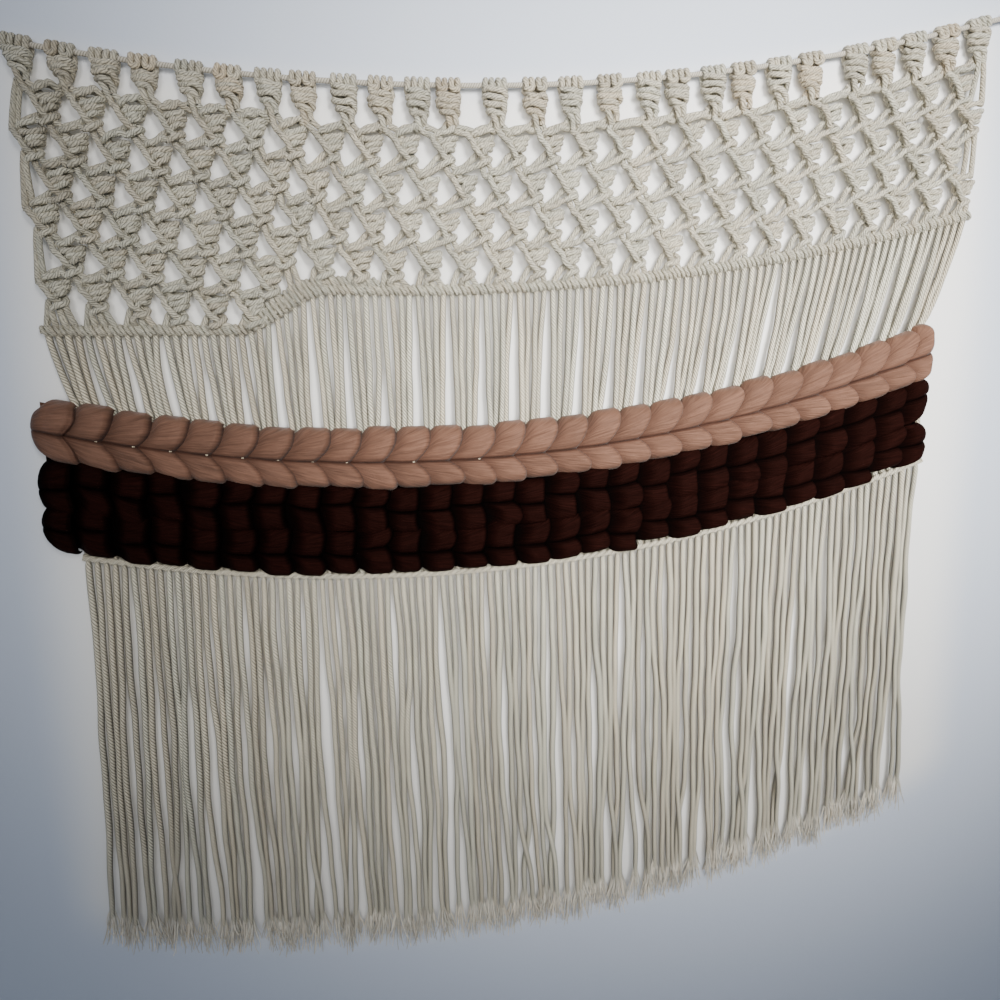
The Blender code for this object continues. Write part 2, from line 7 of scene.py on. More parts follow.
from __future__ import annotations

import logging
import math
import random
from dataclasses import dataclass, field, replace
from enum import Enum

import bpy
import numpy as np
from mathutils import Matrix, Vector

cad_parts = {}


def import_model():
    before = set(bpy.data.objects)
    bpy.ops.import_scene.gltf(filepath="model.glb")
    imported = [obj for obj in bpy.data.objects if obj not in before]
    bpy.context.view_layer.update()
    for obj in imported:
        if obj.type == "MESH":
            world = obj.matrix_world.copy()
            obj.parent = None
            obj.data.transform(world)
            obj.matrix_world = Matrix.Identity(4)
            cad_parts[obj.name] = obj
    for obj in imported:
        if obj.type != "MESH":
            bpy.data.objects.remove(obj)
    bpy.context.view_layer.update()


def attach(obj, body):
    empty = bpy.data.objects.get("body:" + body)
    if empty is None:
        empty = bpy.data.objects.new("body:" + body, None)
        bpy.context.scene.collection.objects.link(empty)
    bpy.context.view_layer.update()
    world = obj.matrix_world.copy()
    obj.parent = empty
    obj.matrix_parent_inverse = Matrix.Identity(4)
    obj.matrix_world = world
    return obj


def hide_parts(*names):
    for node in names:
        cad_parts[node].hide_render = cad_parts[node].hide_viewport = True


MM = 0.001
TWIST = "twisted_plies"
ROVING = "loose_fibres"
log = logging.getLogger("wall_hanging")

Socket = bpy.types.NodeSocket
Point = tuple[float, float, float]
Color = tuple[float, float, float, float]


def smooth_step(value: np.ndarray | float, start: float, end: float) -> np.ndarray:
    """A soft step from 0 at start to 1 at end."""
    share = np.clip((np.asarray(value, float) - start) / (end - start), 0.0, 1.0)
    return share * share * (3 - 2 * share)


def blend(first, last, share):
    """The value that lies a share of the way from first to last."""
    return first + (last - first) * share


def as_points(x, y, z) -> np.ndarray:
    """Points from their coordinates, which are spread to one shape."""
    return np.stack(np.broadcast_arrays(x, y, z), axis=-1)


def unit(vectors: np.ndarray) -> np.ndarray:
    """Vectors made 1 long."""
    return vectors / np.maximum(np.linalg.norm(vectors, axis=-1, keepdims=True), 1e-9)


# Where things are


@dataclass(frozen=True)
class Layout:
    """Where the cords run, by the numbers of their groups, columns and rows. It follows the part's source.

    Depths and pitches in pairs are those at the left and at the right. A pair of x is where a change starts and ends.
    """

    groups: int = 27
    cords_in_group: int = 4
    holding_swag: float = 0.39
    holding_low_x: float = -74 * MM
    mount_drop: float = 1.8 * MM
    head_pitch: float = 19.6 * MM
    head_half_width: float = 7.6 * MM
    head_shifts_mm: tuple[float, ...] = (
        (0, 0, 0, -1.6, 0.3, -0.8, -1.1, -3.6, -2.8)
        + (-3.8, -4.5, -8.1, -3.1, -1.4, -1.5, 0.2, 2.4, -1.3)
        + (-0.4, -2.9, -1.7, -2.7, 4.1, 1.5, 0, 0, 0)
    )
    first_row_depth: tuple[float, float] = (12.4 * MM, 15.4 * MM)
    row_pitch: tuple[float, float] = (17.8 * MM, 19.4 * MM)
    rows_change_x: tuple[float, float] = (-157 * MM, -107 * MM)
    rows: int = 7
    last_columns: tuple[tuple[int, float], ...] = ((5, 5.5), (6, 5.0))
    net_narrowing: float = 0.025
    net_narrows_to_x: float = -9.6 * MM
    net_drift: float = -4 * MM
    net_drift_x: float = 25 * MM
    net_drift_width: float = 110 * MM
    knot_unevenness: float = 0.45 * MM
    knot_shift: float = 2.3 * MM
    knot_shift_x: tuple[float, float] = (-85 * MM, -20 * MM)
    bar_below_holding: float = 105.2 * MM
    bar_left_z: float = -127.2 * MM
    bar_step_x: tuple[float, float] = (-163 * MM, -114 * MM)
    gathered_pitch: float = 3.05 * MM
    band_pitch: float = 18.0 * MM
    band_shift: float = -6 * MM
    band_swag: float = 0.59
    band_low_x: float = -70 * MM
    node_before_entry: float = 11 * MM
    root_z: float = -265.8 * MM
    fringe_pitch: float = 4.52 * MM
    fringe_end_z: float = -500 * MM
    fringe_end_swag: float = 0.62
    seed: int = 7

    @property
    def cords(self) -> int:
        """How many cords hang from the holding cord."""
        return self.groups * self.cords_in_group

    @property
    def middle_group(self) -> float:
        """The number of the middle group."""
        return (self.groups - 1) / 2

    @property
    def middle_cord(self) -> float:
        """The number that the middle of the cords would have."""
        return (self.cords - 1) / 2

    def holding_z(self, x):
        """The height of the holding cord at x."""
        return self.holding_swag * ((x - self.holding_low_x) ** 2 - self.holding_low_x**2)

    def mount_z(self, x):
        """The height of the middle of the larks' heads at x."""
        return self.holding_z(x) - self.mount_drop

    def holding_slope(self, x):
        """How steeply the holding cord rises to the right at x."""
        return 2 * self.holding_swag * (x - self.holding_low_x)

    def band_z(self, x, lowest: float):
        """The height at x of a line of the wool band that is at lowest in its lowest place."""
        return lowest + self.band_swag * (x - self.band_low_x) ** 2

    def bar_z(self, x):
        """The height of the bar of half hitches at x."""
        share = smooth_step(x, *self.bar_step_x)
        return blend(self.bar_left_z, self.holding_z(x) - self.bar_below_holding, share)

    def drift(self, x):
        """How far the net's middle hangs to the right of its even place at x."""
        return self.net_drift * np.exp(-(((x - self.net_drift_x) / self.net_drift_width) ** 2))

    def head_x(self, group):
        """The middle of a group's larks' heads."""
        shifts = np.array(self.head_shifts_mm) * MM
        return (np.asarray(group) - self.middle_group) * self.head_pitch + shifts[group]

    def entry_x(self, group):
        """Where a group of cords goes into the wool."""
        return self.band_shift + (group - self.middle_group) * self.band_pitch

    def node_x(self, stitch):
        """Where a stitch of wool starts, at the middle of its row."""
        return self.entry_x(stitch) - self.node_before_entry

    def bar_x(self, cord):
        """Where a cord leaves the bar."""
        pitch = self.head_pitch * (1 - self.net_narrowing) / self.cords_in_group
        even = (cord - self.middle_cord) * pitch
        return even + self.drift(even)

    def gathered_x(self, cord):
        """Where a cord goes into the wool, close to the others of its group."""
        group, place = np.divmod(cord, self.cords_in_group)
        return self.entry_x(group) + (place - (self.cords_in_group - 1) / 2) * self.gathered_pitch

    def root_x(self, cord):
        """Where a cord comes out under the wool."""
        return self.band_shift + (cord - self.middle_cord) * self.fringe_pitch

    def knot_places(self) -> dict[tuple[int, float], tuple[float, float]]:
        """The centre of every square knot, by its row and column. Odd rows have half numbers as columns."""
        uneven = random.Random(self.seed)
        last_columns = dict(self.last_columns)
        places = {}
        for row in range(self.rows):
            column = 0.5 * (row % 2)
            while column <= last_columns.get(row, self.groups - 1):
                places[row, column] = self._knot_place(row, column, uneven)
                column += 1
        return places

    def _knot_place(self, row: int, column: float, uneven: random.Random) -> tuple[float, float]:
        """The centre of one knot, with its share of the unevenness."""
        even = (column - self.middle_group) * self.head_pitch
        to_right = float(smooth_step(even, *self.rows_change_x))
        depth = blend(*self.first_row_depth, to_right) + row * blend(*self.row_pitch, to_right)
        if row == 0:
            x = float(self.head_x(int(column)))
            return x, self.holding_z(x) - depth
        narrowed = 1 - self.net_narrowing * depth / self.bar_below_holding
        x = self.net_narrows_to_x + (even - self.net_narrows_to_x) * narrowed + float(self.drift(even))
        shift = self.knot_shift * float(smooth_step(even, *self.knot_shift_x))
        x += uneven.uniform(-1, 1) * self.knot_unevenness + shift
        depth += uneven.uniform(-1, 1) * self.knot_unevenness
        return x, self.holding_z(even) - depth


@dataclass(frozen=True)
class FringeLay:
    """How the strands of the fringe lean, and where they part enough to show the wall.

    A parting has its x and its width in millimetres, and the share of the drop at which it is widest.
    """

    leans_x_mm: tuple[float, ...] = (-260, -180, -95, 0, 60, 130, 190, 260)
    leans: tuple[float, ...] = (-0.030, -0.012, 0.012, 0.018, 0.012, -0.010, -0.012, 0.004)
    partings: tuple[tuple[float, float, float], ...] = (
        (-191, 4.0, 0.70),
        (-129, 6.0, 0.50),
        (-90, 3.0, 0.80),
        (-60, 4.0, 0.55),
        (8, 4.0, 0.65),
        (56, 3.0, 0.60),
        (94, 3.0, 0.50),
        (121, 5.0, 0.75),
        (162, 4.0, 0.50),
    )
    reach: float = 13 * MM
    span: float = 0.45

    def place(self, layout: Layout, cord: np.ndarray, share: np.ndarray) -> np.ndarray:
        """Where strands are at shares of their drop.

        Args:
            layout: The hanging's layout.
            cord: The strands' numbers, in a column.
            share: The shares of the drop, in a row.

        Returns:
            X for every strand and share.
        """
        root = layout.root_x(cord)
        drop = (layout.root_z - layout.fringe_end_z) * share
        x = root + np.interp(root, np.array(self.leans_x_mm) * MM, self.leans) * drop
        for x_mm, width_mm, widest in self.partings:
            away = root - x_mm * MM
            opening = np.exp(-(((share - widest) / self.span) ** 2)) * np.minimum(1.0, share * 3)
            x = x + np.sign(away) * 0.5 * width_mm * MM * opening * np.exp(-np.abs(away) / self.reach)
        return x


# Meshes


@dataclass
class Surfaces:
    """Vertices, faces, UVs, tones and painted shades of one object, gathered piece by piece and made at the end."""

    points: list[np.ndarray] = field(default_factory=list)
    quads: list[np.ndarray] = field(default_factory=list)
    uvs: list[np.ndarray] = field(default_factory=list)
    tones: list[np.ndarray] = field(default_factory=list)
    depths: list[np.ndarray] = field(default_factory=list)
    count: int = 0

    def add_grids(
        self, grids: np.ndarray, uv: np.ndarray, tone: np.ndarray, depth: np.ndarray | None = None, closed: bool = False
    ) -> None:
        """Adds a batch of grids of points as surfaces.

        Args:
            grids: The points, as (surfaces, rows, columns, 3). The face looks along column step x row step.
            uv: A UV for each corner, as (surfaces, rows, columns, 2), or one more column where closed.
            tone: The shade of each surface, one number each.
            depth: A brightness for each point, 0 to 1, that paints the shade in creases and hollows. It is 1 all over
                if left out.
            closed: Whether the last column joins the first.
        """
        many, rows, columns, _ = grids.shape
        index = np.arange(many * rows * columns).reshape(many, rows, columns) + self.count
        if closed:
            index = np.concatenate([index, index[:, :, :1]], axis=2)
        across = index.shape[2] - 1
        for kept, values, width in ((self.quads, index, 4), (self.uvs, uv, 2)):
            corners = [values[:, r : r + rows - 1, c : c + across] for r, c in ((0, 0), (0, 1), (1, 1), (1, 0))]
            kept.append(np.stack(corners, axis=3).reshape(-1, width))
        self.points.append(grids.reshape(-1, 3))
        self.tones.append(np.broadcast_to(np.reshape(tone, (-1, 1, 1)), (many, rows, columns)).reshape(-1))
        shade = np.ones((many, rows, columns)) if depth is None else depth
        self.depths.append(np.broadcast_to(shade, (many, rows, columns)).reshape(-1))
        self.count += many * rows * columns

    def add_tubes(
        self,
        centres: np.ndarray,
        radius: np.ndarray | float,
        tone: np.ndarray,
        sides: int = 8,
        start_uv: np.ndarray | float = 0.0,
        depth: np.ndarray | None = None,
    ) -> None:
        """Adds a batch of round tubes along paths.

        Args:
            centres: The paths, as (tubes, stations, 3).
            radius: One radius, or one for each tube and station.
            tone: The shade of each tube.
            sides: How many sides each tube has.
            start_uv: Where the UV's length starts, in metres, for each tube.
            depth: A brightness for each station, 0 to 1, that paints shade, as (tubes, stations).
        """
        many, stations, _ = centres.shape
        along = unit(np.gradient(centres, axis=1))
        normal = np.zeros_like(centres)
        normal[:, 0] = unit(np.cross(along[:, 0], np.array([0.31, 0.17, 0.93])))  # no cord runs along this vector
        for station in range(1, stations):  # each normal is the last one, turned as little as can be
            carried, way = normal[:, station - 1], along[:, station]
            normal[:, station] = unit(carried - way * np.sum(carried * way, axis=1, keepdims=True))
        beside = np.cross(along, normal)
        angle = (np.arange(sides) * math.tau / sides)[None, None, :, None]
        radii = np.broadcast_to(radius, (many, stations))[:, :, None, None]
        ring = np.cos(angle) * normal[:, :, None, :] + np.sin(angle) * beside[:, :, None, :]
        steps = np.linalg.norm(np.diff(centres, axis=1), axis=2)
        length = np.concatenate([np.zeros((many, 1)), np.cumsum(steps, axis=1)], axis=1)
        length = length + np.reshape(start_uv, (-1, 1))
        uv = np.empty((many, stations, sides + 1, 2))
        uv[..., 0] = np.arange(sides + 1) / sides
        uv[..., 1] = length[:, :, None] / MM
        shade = None if depth is None else depth[:, :, None]
        self.add_grids(centres[:, :, None, :] + radii * ring, uv, tone, shade, closed=True)

    def make(self, name: str, material: bpy.types.Material) -> bpy.types.Object:
        """Makes one smooth object of all that was added.

        Args:
            name: The object's name.
            material: Its material.

        Returns:
            The new object.
        """
        points = np.concatenate(self.points).astype(np.float32)
        quads = np.concatenate(self.quads).astype(np.int32)
        mesh = bpy.data.meshes.new(name)
        mesh.vertices.add(len(points))
        mesh.vertices.foreach_set("co", points.ravel())
        mesh.loops.add(quads.size)
        mesh.loops.foreach_set("vertex_index", quads.ravel())
        mesh.polygons.add(len(quads))
        mesh.polygons.foreach_set("loop_start", np.arange(0, quads.size, 4, dtype=np.int32))
        mesh.polygons.foreach_set("use_smooth", np.ones(len(quads), bool))
        mesh.update(calc_edges=True)
        layer = mesh.uv_layers.new(name="UVMap")
        layer.data.foreach_set("uv", np.concatenate(self.uvs).astype(np.float32).ravel())
        # the depth attribute carries painted shade, a brightness that the materials multiply into the colour
        for attribute, values in (("tone", self.tones), ("depth", self.depths)):
            stored = mesh.attributes.new(attribute, "FLOAT", "POINT")
            stored.data.foreach_set("value", np.concatenate(values).astype(np.float32))
        mesh.validate()
        mesh.materials.append(material)
        made = bpy.data.objects.new(name, mesh)
        bpy.context.scene.collection.objects.link(made)
        return made


def smooth_paths(
    control: np.ndarray, per_step: int, before: np.ndarray | None = None, after: np.ndarray | None = None
) -> np.ndarray:
    """Smooth curves through control points.

    Args:
        control: The points, as (curves, points, 3).
        per_step: How many stations there are for each step between points.
        before: A point before each curve's first one, which sets its direction there.
        after: A point after each curve's last one.

    Returns:
        The stations, as (curves, stations, 3).
    """
    first = 2 * control[:, 0] - control[:, 1] if before is None else before
    last = 2 * control[:, -1] - control[:, -2] if after is None else after
    padded = np.concatenate([first[:, None], control, last[:, None]], axis=1)
    steps = control.shape[1] - 1
    p0, p1, p2, p3 = (padded[:, k : k + steps, None, :] for k in range(4))
    t = (np.arange(per_step) / per_step)[None, None, :, None]
    curve = 2 * p1 + (p2 - p0) * t + (2 * p0 - 5 * p1 + 4 * p2 - p3) * t**2 + (3 * p1 - p0 - 3 * p2 + p3) * t**3
    stations = (0.5 * curve).reshape(control.shape[0], steps * per_step, 3)
    return np.concatenate([stations, control[:, -1:]], axis=1)


# Materials


class Graph:
    """A node tree that is filled from left to right."""

    COLUMN_WIDTH = 190
    ROW_HEIGHT = 160
    ROWS = 4

    def __init__(self, tree: bpy.types.NodeTree) -> None:
        self.tree = tree
        self.column = 0

    def node(self, kind: str, **settings) -> bpy.types.Node:
        """Adds a node of a kind, with its settings."""
        made = self.tree.nodes.new(kind)
        made.location = (self.column * self.COLUMN_WIDTH, -(self.column % self.ROWS) * self.ROW_HEIGHT)
        self.column += 1
        for name, value in settings.items():
            setattr(made, name, value)
        return made

    def feed(self, socket: Socket, value: Socket | float | tuple) -> None:
        """Links a socket to an input, or sets the input to a value."""
        if isinstance(value, bpy.types.NodeSocket):
            self.tree.links.new(value, socket)
        else:
            socket.default_value = value

    def fill(self, node: bpy.types.Node, values: dict[str, Socket | float | tuple]) -> None:
        """Feeds several of a node's inputs, by their names."""
        for name, value in values.items():
            self.feed(node.inputs[name], value)

    def math(self, operation: str, *values: Socket | float, clamp: bool = False) -> Socket:
        """The result of a Math node."""
        made = self.node("ShaderNodeMath", operation=operation, use_clamp=clamp)
        for socket, value in zip(made.inputs, values):
            self.feed(socket, value)
        return made.outputs[0]

    def times(self, first: Socket, *others: Socket | float) -> Socket:
        """The product of two values or more."""
        for other in others:
            first = self.math("MULTIPLY", first, other)
        return first

    def line(self, value: Socket, slope: Socket | float, start: Socket | float, clamp: bool = False) -> Socket:
        """The value times a slope, added to a start."""
        return self.math("MULTIPLY_ADD", value, slope, start, clamp=clamp)

    def mix(self, share: Socket, first: Socket | Color, last: Socket | Color, way: str = "MIX") -> Socket:
        """The result of a Mix node for colours."""
        made = self.node("ShaderNodeMix", data_type="RGBA", blend_type=way)
        for number, value in ((0, share), (6, first), (7, last)):  # 6 and 7 are the sockets for colours
            self.feed(made.inputs[number], value)
        return made.outputs[2]

    def scale(self, color: Socket, by: Socket) -> Socket:
        """A colour made lighter or darker."""
        made = self.node("ShaderNodeVectorMath", operation="SCALE")
        self.feed(made.inputs[0], color)
        self.feed(made.inputs["Scale"], by)
        return made.outputs[0]

    def noise(self, vector: Socket, scale: float, detail: float = 2.0, roughness: float = 0.5) -> Socket:
        """The value of a Noise Texture."""
        made = self.node("ShaderNodeTexNoise")
        self.fill(made, {"Vector": vector, "Scale": scale, "Detail": detail, "Roughness": roughness})
        return made.outputs[0]

    def bump(self, height: Socket, distance: float, strength: float) -> Socket:
        """The normal of a surface with this relief, which is a distance deep."""
        made = self.node("ShaderNodeBump")
        self.fill(made, {"Strength": strength, "Distance": distance, "Height": height})
        return made.outputs[0]

    def vector(self, x: Socket | float, y: Socket | float, z: Socket | float) -> Socket:
        """A vector from its three parts."""
        made = self.node("ShaderNodeCombineXYZ")
        self.fill(made, {"X": x, "Y": y, "Z": z})
        return made.outputs[0]

    def split(self, vector: Socket) -> tuple[Socket, Socket, Socket]:
        """The three parts of a vector."""
        made = self.node("ShaderNodeSeparateXYZ")
        self.feed(made.inputs[0], vector)
        return tuple(made.outputs)

    def soft_step(self, value: Socket, start: float, end: float) -> Socket:
        """A soft step from 0 at start to 1 at end."""
        made = self.node("ShaderNodeMapRange", interpolation_type="SMOOTHSTEP")
        self.fill(made, {"Value": value, "From Min": start, "From Max": end})
        return made.outputs[0]

    def attribute(self, name: str) -> Socket:
        """A number that the mesh keeps for each point."""
        return self.node("ShaderNodeAttribute", attribute_name=name).outputs["Fac"]

    def own_share(self, spread: float) -> Socket:
        """A share that each cord or stitch has for itself: FRACT(tone * spread)."""
        return self.math("FRACT", self.times(self.attribute("tone"), spread))

    def coordinates(self, kind: str) -> Socket:
        """The mesh's UVs, or the place in the object."""
        return self.node("ShaderNodeTexCoord").outputs[kind]


def new_material(name: str) -> tuple[bpy.types.Material, Graph, bpy.types.Node]:
    """A new material, the graph that it is filled by, and its Principled shader."""
    material = bpy.data.materials.new(name)
    material.use_nodes = True
    return material, Graph(material.node_tree), material.node_tree.nodes["Principled BSDF"]


def make_group(name: str, inputs: dict[str, float], outputs: tuple[str, ...]) -> tuple[bpy.types.NodeTree, Graph]:
    """An empty shader node group.

    Args:
        name: The group's name.
        inputs: The group's number inputs, and what each is by default.
        outputs: The names of the group's number outputs.

    Returns:
        The group and a graph to fill it with.
    """
    tree = bpy.data.node_groups.new(name, "ShaderNodeTree")
    for label, value in inputs.items():
        tree.interface.new_socket(name=label, in_out="INPUT", socket_type="NodeSocketFloat").default_value = value
    for label in outputs:
        tree.interface.new_socket(name=label, in_out="OUTPUT", socket_type="NodeSocketFloat")
    return tree, Graph(tree)


def twist_group() -> bpy.types.NodeTree:
    """Plies that wind around a cord, with the fibres in them. Its UV runs around the cord, and along it in millimetres.

    A place's phase is around * Plies + along / Ply Spacing + Slack * noise(along), and its ply is the phase's whole
    part. Across a ply, from -1 to 1, the crown is sqrt(1 - across^2). The fibres are a noise that is stretched along
    the ply. The height is crown + 0.55 * (fibre - 0.5).
    """
    tree, graph = make_group(TWIST, {"Plies": 4.0, "Ply Spacing": 2.0, "Slack": 1.6}, ("Height", "Crown", "Fibre"))
    given = graph.node("NodeGroupInput").outputs
    around, along, _ = graph.split(graph.coordinates("UV"))
    tone = graph.times(graph.attribute("tone"), 37.0)
    slack = graph.noise(graph.vector(graph.times(along, 0.22), tone, 0.0), 1.0, 1.0)
    turns = graph.math("DIVIDE", along, given["Ply Spacing"])
    phase = graph.line(slack, given["Slack"], graph.math("ADD", graph.times(around, given["Plies"]), turns))
    across = graph.line(graph.math("FRACT", phase), 2.0, -1.0)
    crown = graph.math("SQRT", graph.math("SUBTRACT", 1.0, graph.times(across, across), clamp=True))
    ply = graph.math("FLOOR", phase)
    fibre_across = graph.line(around, 34.0, graph.times(across, 2.2))
    fibre_place = graph.vector(fibre_across, graph.times(along, 0.42), graph.math("ADD", tone, ply))
    fibre = graph.noise(fibre_place, 1.0, 3.0, 0.6)
    height = graph.math("ADD", crown, graph.times(graph.math("SUBTRACT", fibre, 0.5), 0.55))
    graph.fill(graph.node("NodeGroupOutput"), {"Height": height, "Crown": crown, "Fibre": fibre})
    return tree


def roving_group() -> bpy.types.NodeTree:
    """Loose fibres that run side by side through a stitch. Its UV runs along them and across them, in millimetres.

    Both outputs are noises stretched along the fibres, which wander by 2.2 mm: the streak is 3.4 cells to a
    millimetre, and the strand 0.85. The height is streak + 1.4 * strand.
    """
    tree, graph = make_group(ROVING, {}, ("Height", "Streak", "Strand"))
    along, across, _ = graph.split(graph.coordinates("UV"))
    tone = graph.times(graph.attribute("tone"), 53.0)
    wander = graph.noise(graph.vector(graph.times(along, 0.06), graph.times(across, 0.12), tone), 1.0)
    bent = graph.line(wander, 2.2, across)
    fine = graph.noise(graph.vector(graph.times(along, 0.09), graph.times(bent, 3.4), tone), 1.0, 3.0, 0.65)
    wide = graph.noise(graph.vector(graph.times(along, 0.05), graph.times(bent, 0.85), tone), 1.0)
    height = graph.line(wide, 1.4, fine)
    graph.fill(graph.node("NodeGroupOutput"), {"Height": height, "Streak": fine, "Strand": wide})
    return tree


@dataclass(frozen=True)
class CottonFinish:
    """Matte twisted cotton: its colours on the plies and the dark one painted between them as shade, and how deep its
    twist is.

    A cord that hangs beside others gets painted shade at its sides, by side_shade at most, and painted light at its
    front. A pair of
    numbers is a slope and a start: a noise's or an own share's part in the cord's lightness.
    """

    name: str
    light: Color = (0.84, 0.80, 0.64, 1)
    dark: Color = (0.15, 0.132, 0.086, 1)
    warm: Color = (0.98, 0.88, 0.79, 1)
    tint: Color = (1.0, 0.93, 0.88, 1)
    plies: float = 6.0
    ply_spacing_mm: float = 1.95
    relief: float = 0.5 * MM
    slack: float = 0.8
    felt: float = 0.35
    felt_scale: float = 620.0
    felt_in_color: float = 1.1
    felt_in_relief: float = 1.8
    groove: float = 2.7
    gap_start: float = 0.44
    gap_shade: float = 1.1
    blotch_scale: float = 60.0
    blotches: tuple[float, float] = (0.34, 0.83)
    own_light: tuple[float, float] = (0.26, 0.85)
    front_light: float = 1.0
    side_shade: float = 0.0
    roughness: float = 0.92
    specular: float = 0.2
    sheen: float = 0.25
    sheen_roughness: float = 0.6

    def make(self) -> bpy.types.Material:
        """Makes the material.

        Returns:
            A Principled material whose colour and bump follow the cord's twist.
        """
        material, graph, shader = new_material(self.name)
        twist = graph.node("ShaderNodeGroup", node_tree=bpy.data.node_groups.get(TWIST) or twist_group())
        graph.fill(twist, {"Plies": self.plies, "Ply Spacing": self.ply_spacing_mm, "Slack": self.slack})
        place = graph.coordinates("Object")
        felt = graph.math("SUBTRACT", graph.noise(place, self.felt_scale, 3.0, 0.62), 0.5)
        # painted shade between the plies: the colour goes from light on a ply's crown to dark in its grooves, and
        # groove widens the dark
        crown = graph.math("POWER", twist.outputs["Crown"], self.groove)
        color = graph.mix(graph.line(felt, self.felt_in_color * self.felt, crown, clamp=True), self.dark, self.light)
        # painted shade in the gaps between fibres
        gap = graph.times(graph.math("SUBTRACT", twist.outputs["Fibre"], self.gap_start, clamp=True), self.gap_shade)
        color = graph.mix(gap, color, self.dark)
        warmth = graph.math("SUBTRACT", graph.attribute("tone"), 1.0, clamp=True)  # 1 for a cord whose tone is past 1
        color = graph.mix(warmth, color, self.warm, "MULTIPLY")
        color = graph.mix(graph.own_share(11.7), color, self.tint, "MULTIPLY")
        blotch = graph.line(graph.noise(place, self.blotch_scale), *self.blotches)
        own = graph.line(graph.own_share(7.31), *self.own_light)
        # painted shade at the cord's sides, where its neighbours hide the light, and painted light at its front
        normal_x, _, _ = graph.split(graph.node("ShaderNodeNewGeometry").outputs["Normal"])
        sideways = graph.math("POWER", graph.math("ABSOLUTE", normal_x), 3.0)
        side = graph.line(sideways, -self.side_shade, self.front_light)
        height = graph.line(felt, self.felt_in_relief * self.felt, twist.outputs["Height"])
        # the depth attribute paints shade in creases and hollows; blotch and own are the cord's own tone
        looks = {
            "Base Color": graph.scale(color, graph.times(blotch, own, graph.attribute("depth"), side)),
            "Normal": graph.bump(height, self.relief, 1.0),
            "Roughness": self.roughness,
            "Specular IOR Level": self.specular,
            "Sheen Weight": self.sheen,
            "Sheen Roughness": self.sheen_roughness,
        }
        graph.fill(shader, looks)
        return material


@dataclass(frozen=True)
class WoolFinish:
    """Unspun wool: its colours on the fibres and between them, and the crease colour, which paints the shade in creases
    and under overhanging legs.

    A pair of numbers is a slope and a start, as it is for cotton.
    """

    name: str
    light: Color
    dark: Color
    crease: Color
    sheen: float = 0.35
    sheen_roughness: float = 0.4
    gloss: float = 0.18
    roughness: float = 0.62
    relief: float = 0.45 * MM
    relief_strength: float = 0.8
    streaks: tuple[float, float] = (2.4, -0.7)
    strands: tuple[float, float] = (1.1, 0.45)
    own_light: tuple[float, float] = (0.22, 0.89)
    crease_power: float = 1.3

    def make(self) -> bpy.types.Material:
        """Makes the material.

        Returns:
            A Principled material whose colour and bump follow the fibres.
        """
        material, graph, shader = new_material(self.name)
        fibres = graph.node("ShaderNodeGroup", node_tree=bpy.data.node_groups.get(ROVING) or roving_group()).outputs
        color = graph.mix(graph.line(fibres["Streak"], *self.streaks, clamp=True), self.dark, self.light)
        # painted shade: the crease colour takes over where the depth attribute is low
        color = graph.mix(graph.math("POWER", graph.attribute("depth"), self.crease_power), self.crease, color)
        own = graph.line(graph.own_share(7.31), *self.own_light)
        looks = {
            "Base Color": graph.scale(color, graph.times(graph.line(fibres["Strand"], *self.strands), own)),
            "Normal": graph.bump(fibres["Height"], self.relief, self.relief_strength),
            "Roughness": self.roughness,
            "Specular IOR Level": self.gloss,
            "Sheen Weight": self.sheen,
            "Sheen Roughness": self.sheen_roughness,
        }
        graph.fill(shader, looks)
        return material


class Finish(Enum):
    """Every finish of the hanging."""

    COTTON = CottonFinish("cotton_cord", front_light=1.12, side_shade=0.85)
    KNOTTED_COTTON = CottonFinish(
        "knotted_cotton_cord",
        light=(0.80, 0.765, 0.61, 1),
        dark=(0.27, 0.242, 0.168, 1),
        plies=5.0,
        ply_spacing_mm=1.9,
        relief=1.0 * MM,
        slack=3.4,
        felt=1.2,
        groove=1.1,
    )
    THIN_COTTON = CottonFinish(
        "thin_cotton_cord",
        light=(0.70, 0.67, 0.58, 1),
        plies=3.0,
        ply_spacing_mm=1.3,
        relief=0.2 * MM,
        groove=1.5,
    )
    FRAYED = CottonFinish(
        "frayed_cotton",
        light=(0.94, 0.905, 0.79, 1),
        dark=(0.55, 0.51, 0.41, 1),
        plies=2.0,
        ply_spacing_mm=1.2,
        relief=0.1 * MM,
        groove=1.0,
    )
    PINK_WOOL = WoolFinish(
        "dusty_pink_roving", (0.222, 0.115, 0.076, 1), (0.132, 0.063, 0.040, 1), (0.040, 0.014, 0.008, 1), sheen=0.08
    )
    BROWN_WOOL = WoolFinish(
        "dark_brown_roving",
        (0.0185, 0.0047, 0.0034, 1),
        (0.0050, 0.0011, 0.0007, 1),
        (0.0003, 0.0001, 0.0001, 1),
        sheen=0.0,
        gloss=0.03,
        roughness=0.8,
    )

    def material(self) -> bpy.types.Material:
        """The finish's material, made the first time that it is asked for."""
        return bpy.data.materials.get(self.value.name) or self.value.make()


# Pieces


@dataclass
class Piece:
    """Something that shows, and the solid that it stands for."""

    layout: Layout
    node: str
    slot: str

    def finish(self, made: bpy.types.Object) -> None:
        """Makes an object move with the part and stand for the piece's solid."""
        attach(made, "root")
        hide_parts(self.node)
        log.info("%s: %d faces", made.name, len(made.data.polygons))

    def tones(self, many: int, seed: int) -> np.ndarray:
        """A shade for each of many pieces, from 0 to 1."""
        return np.random.default_rng(seed).uniform(0.0, 0.95, many)


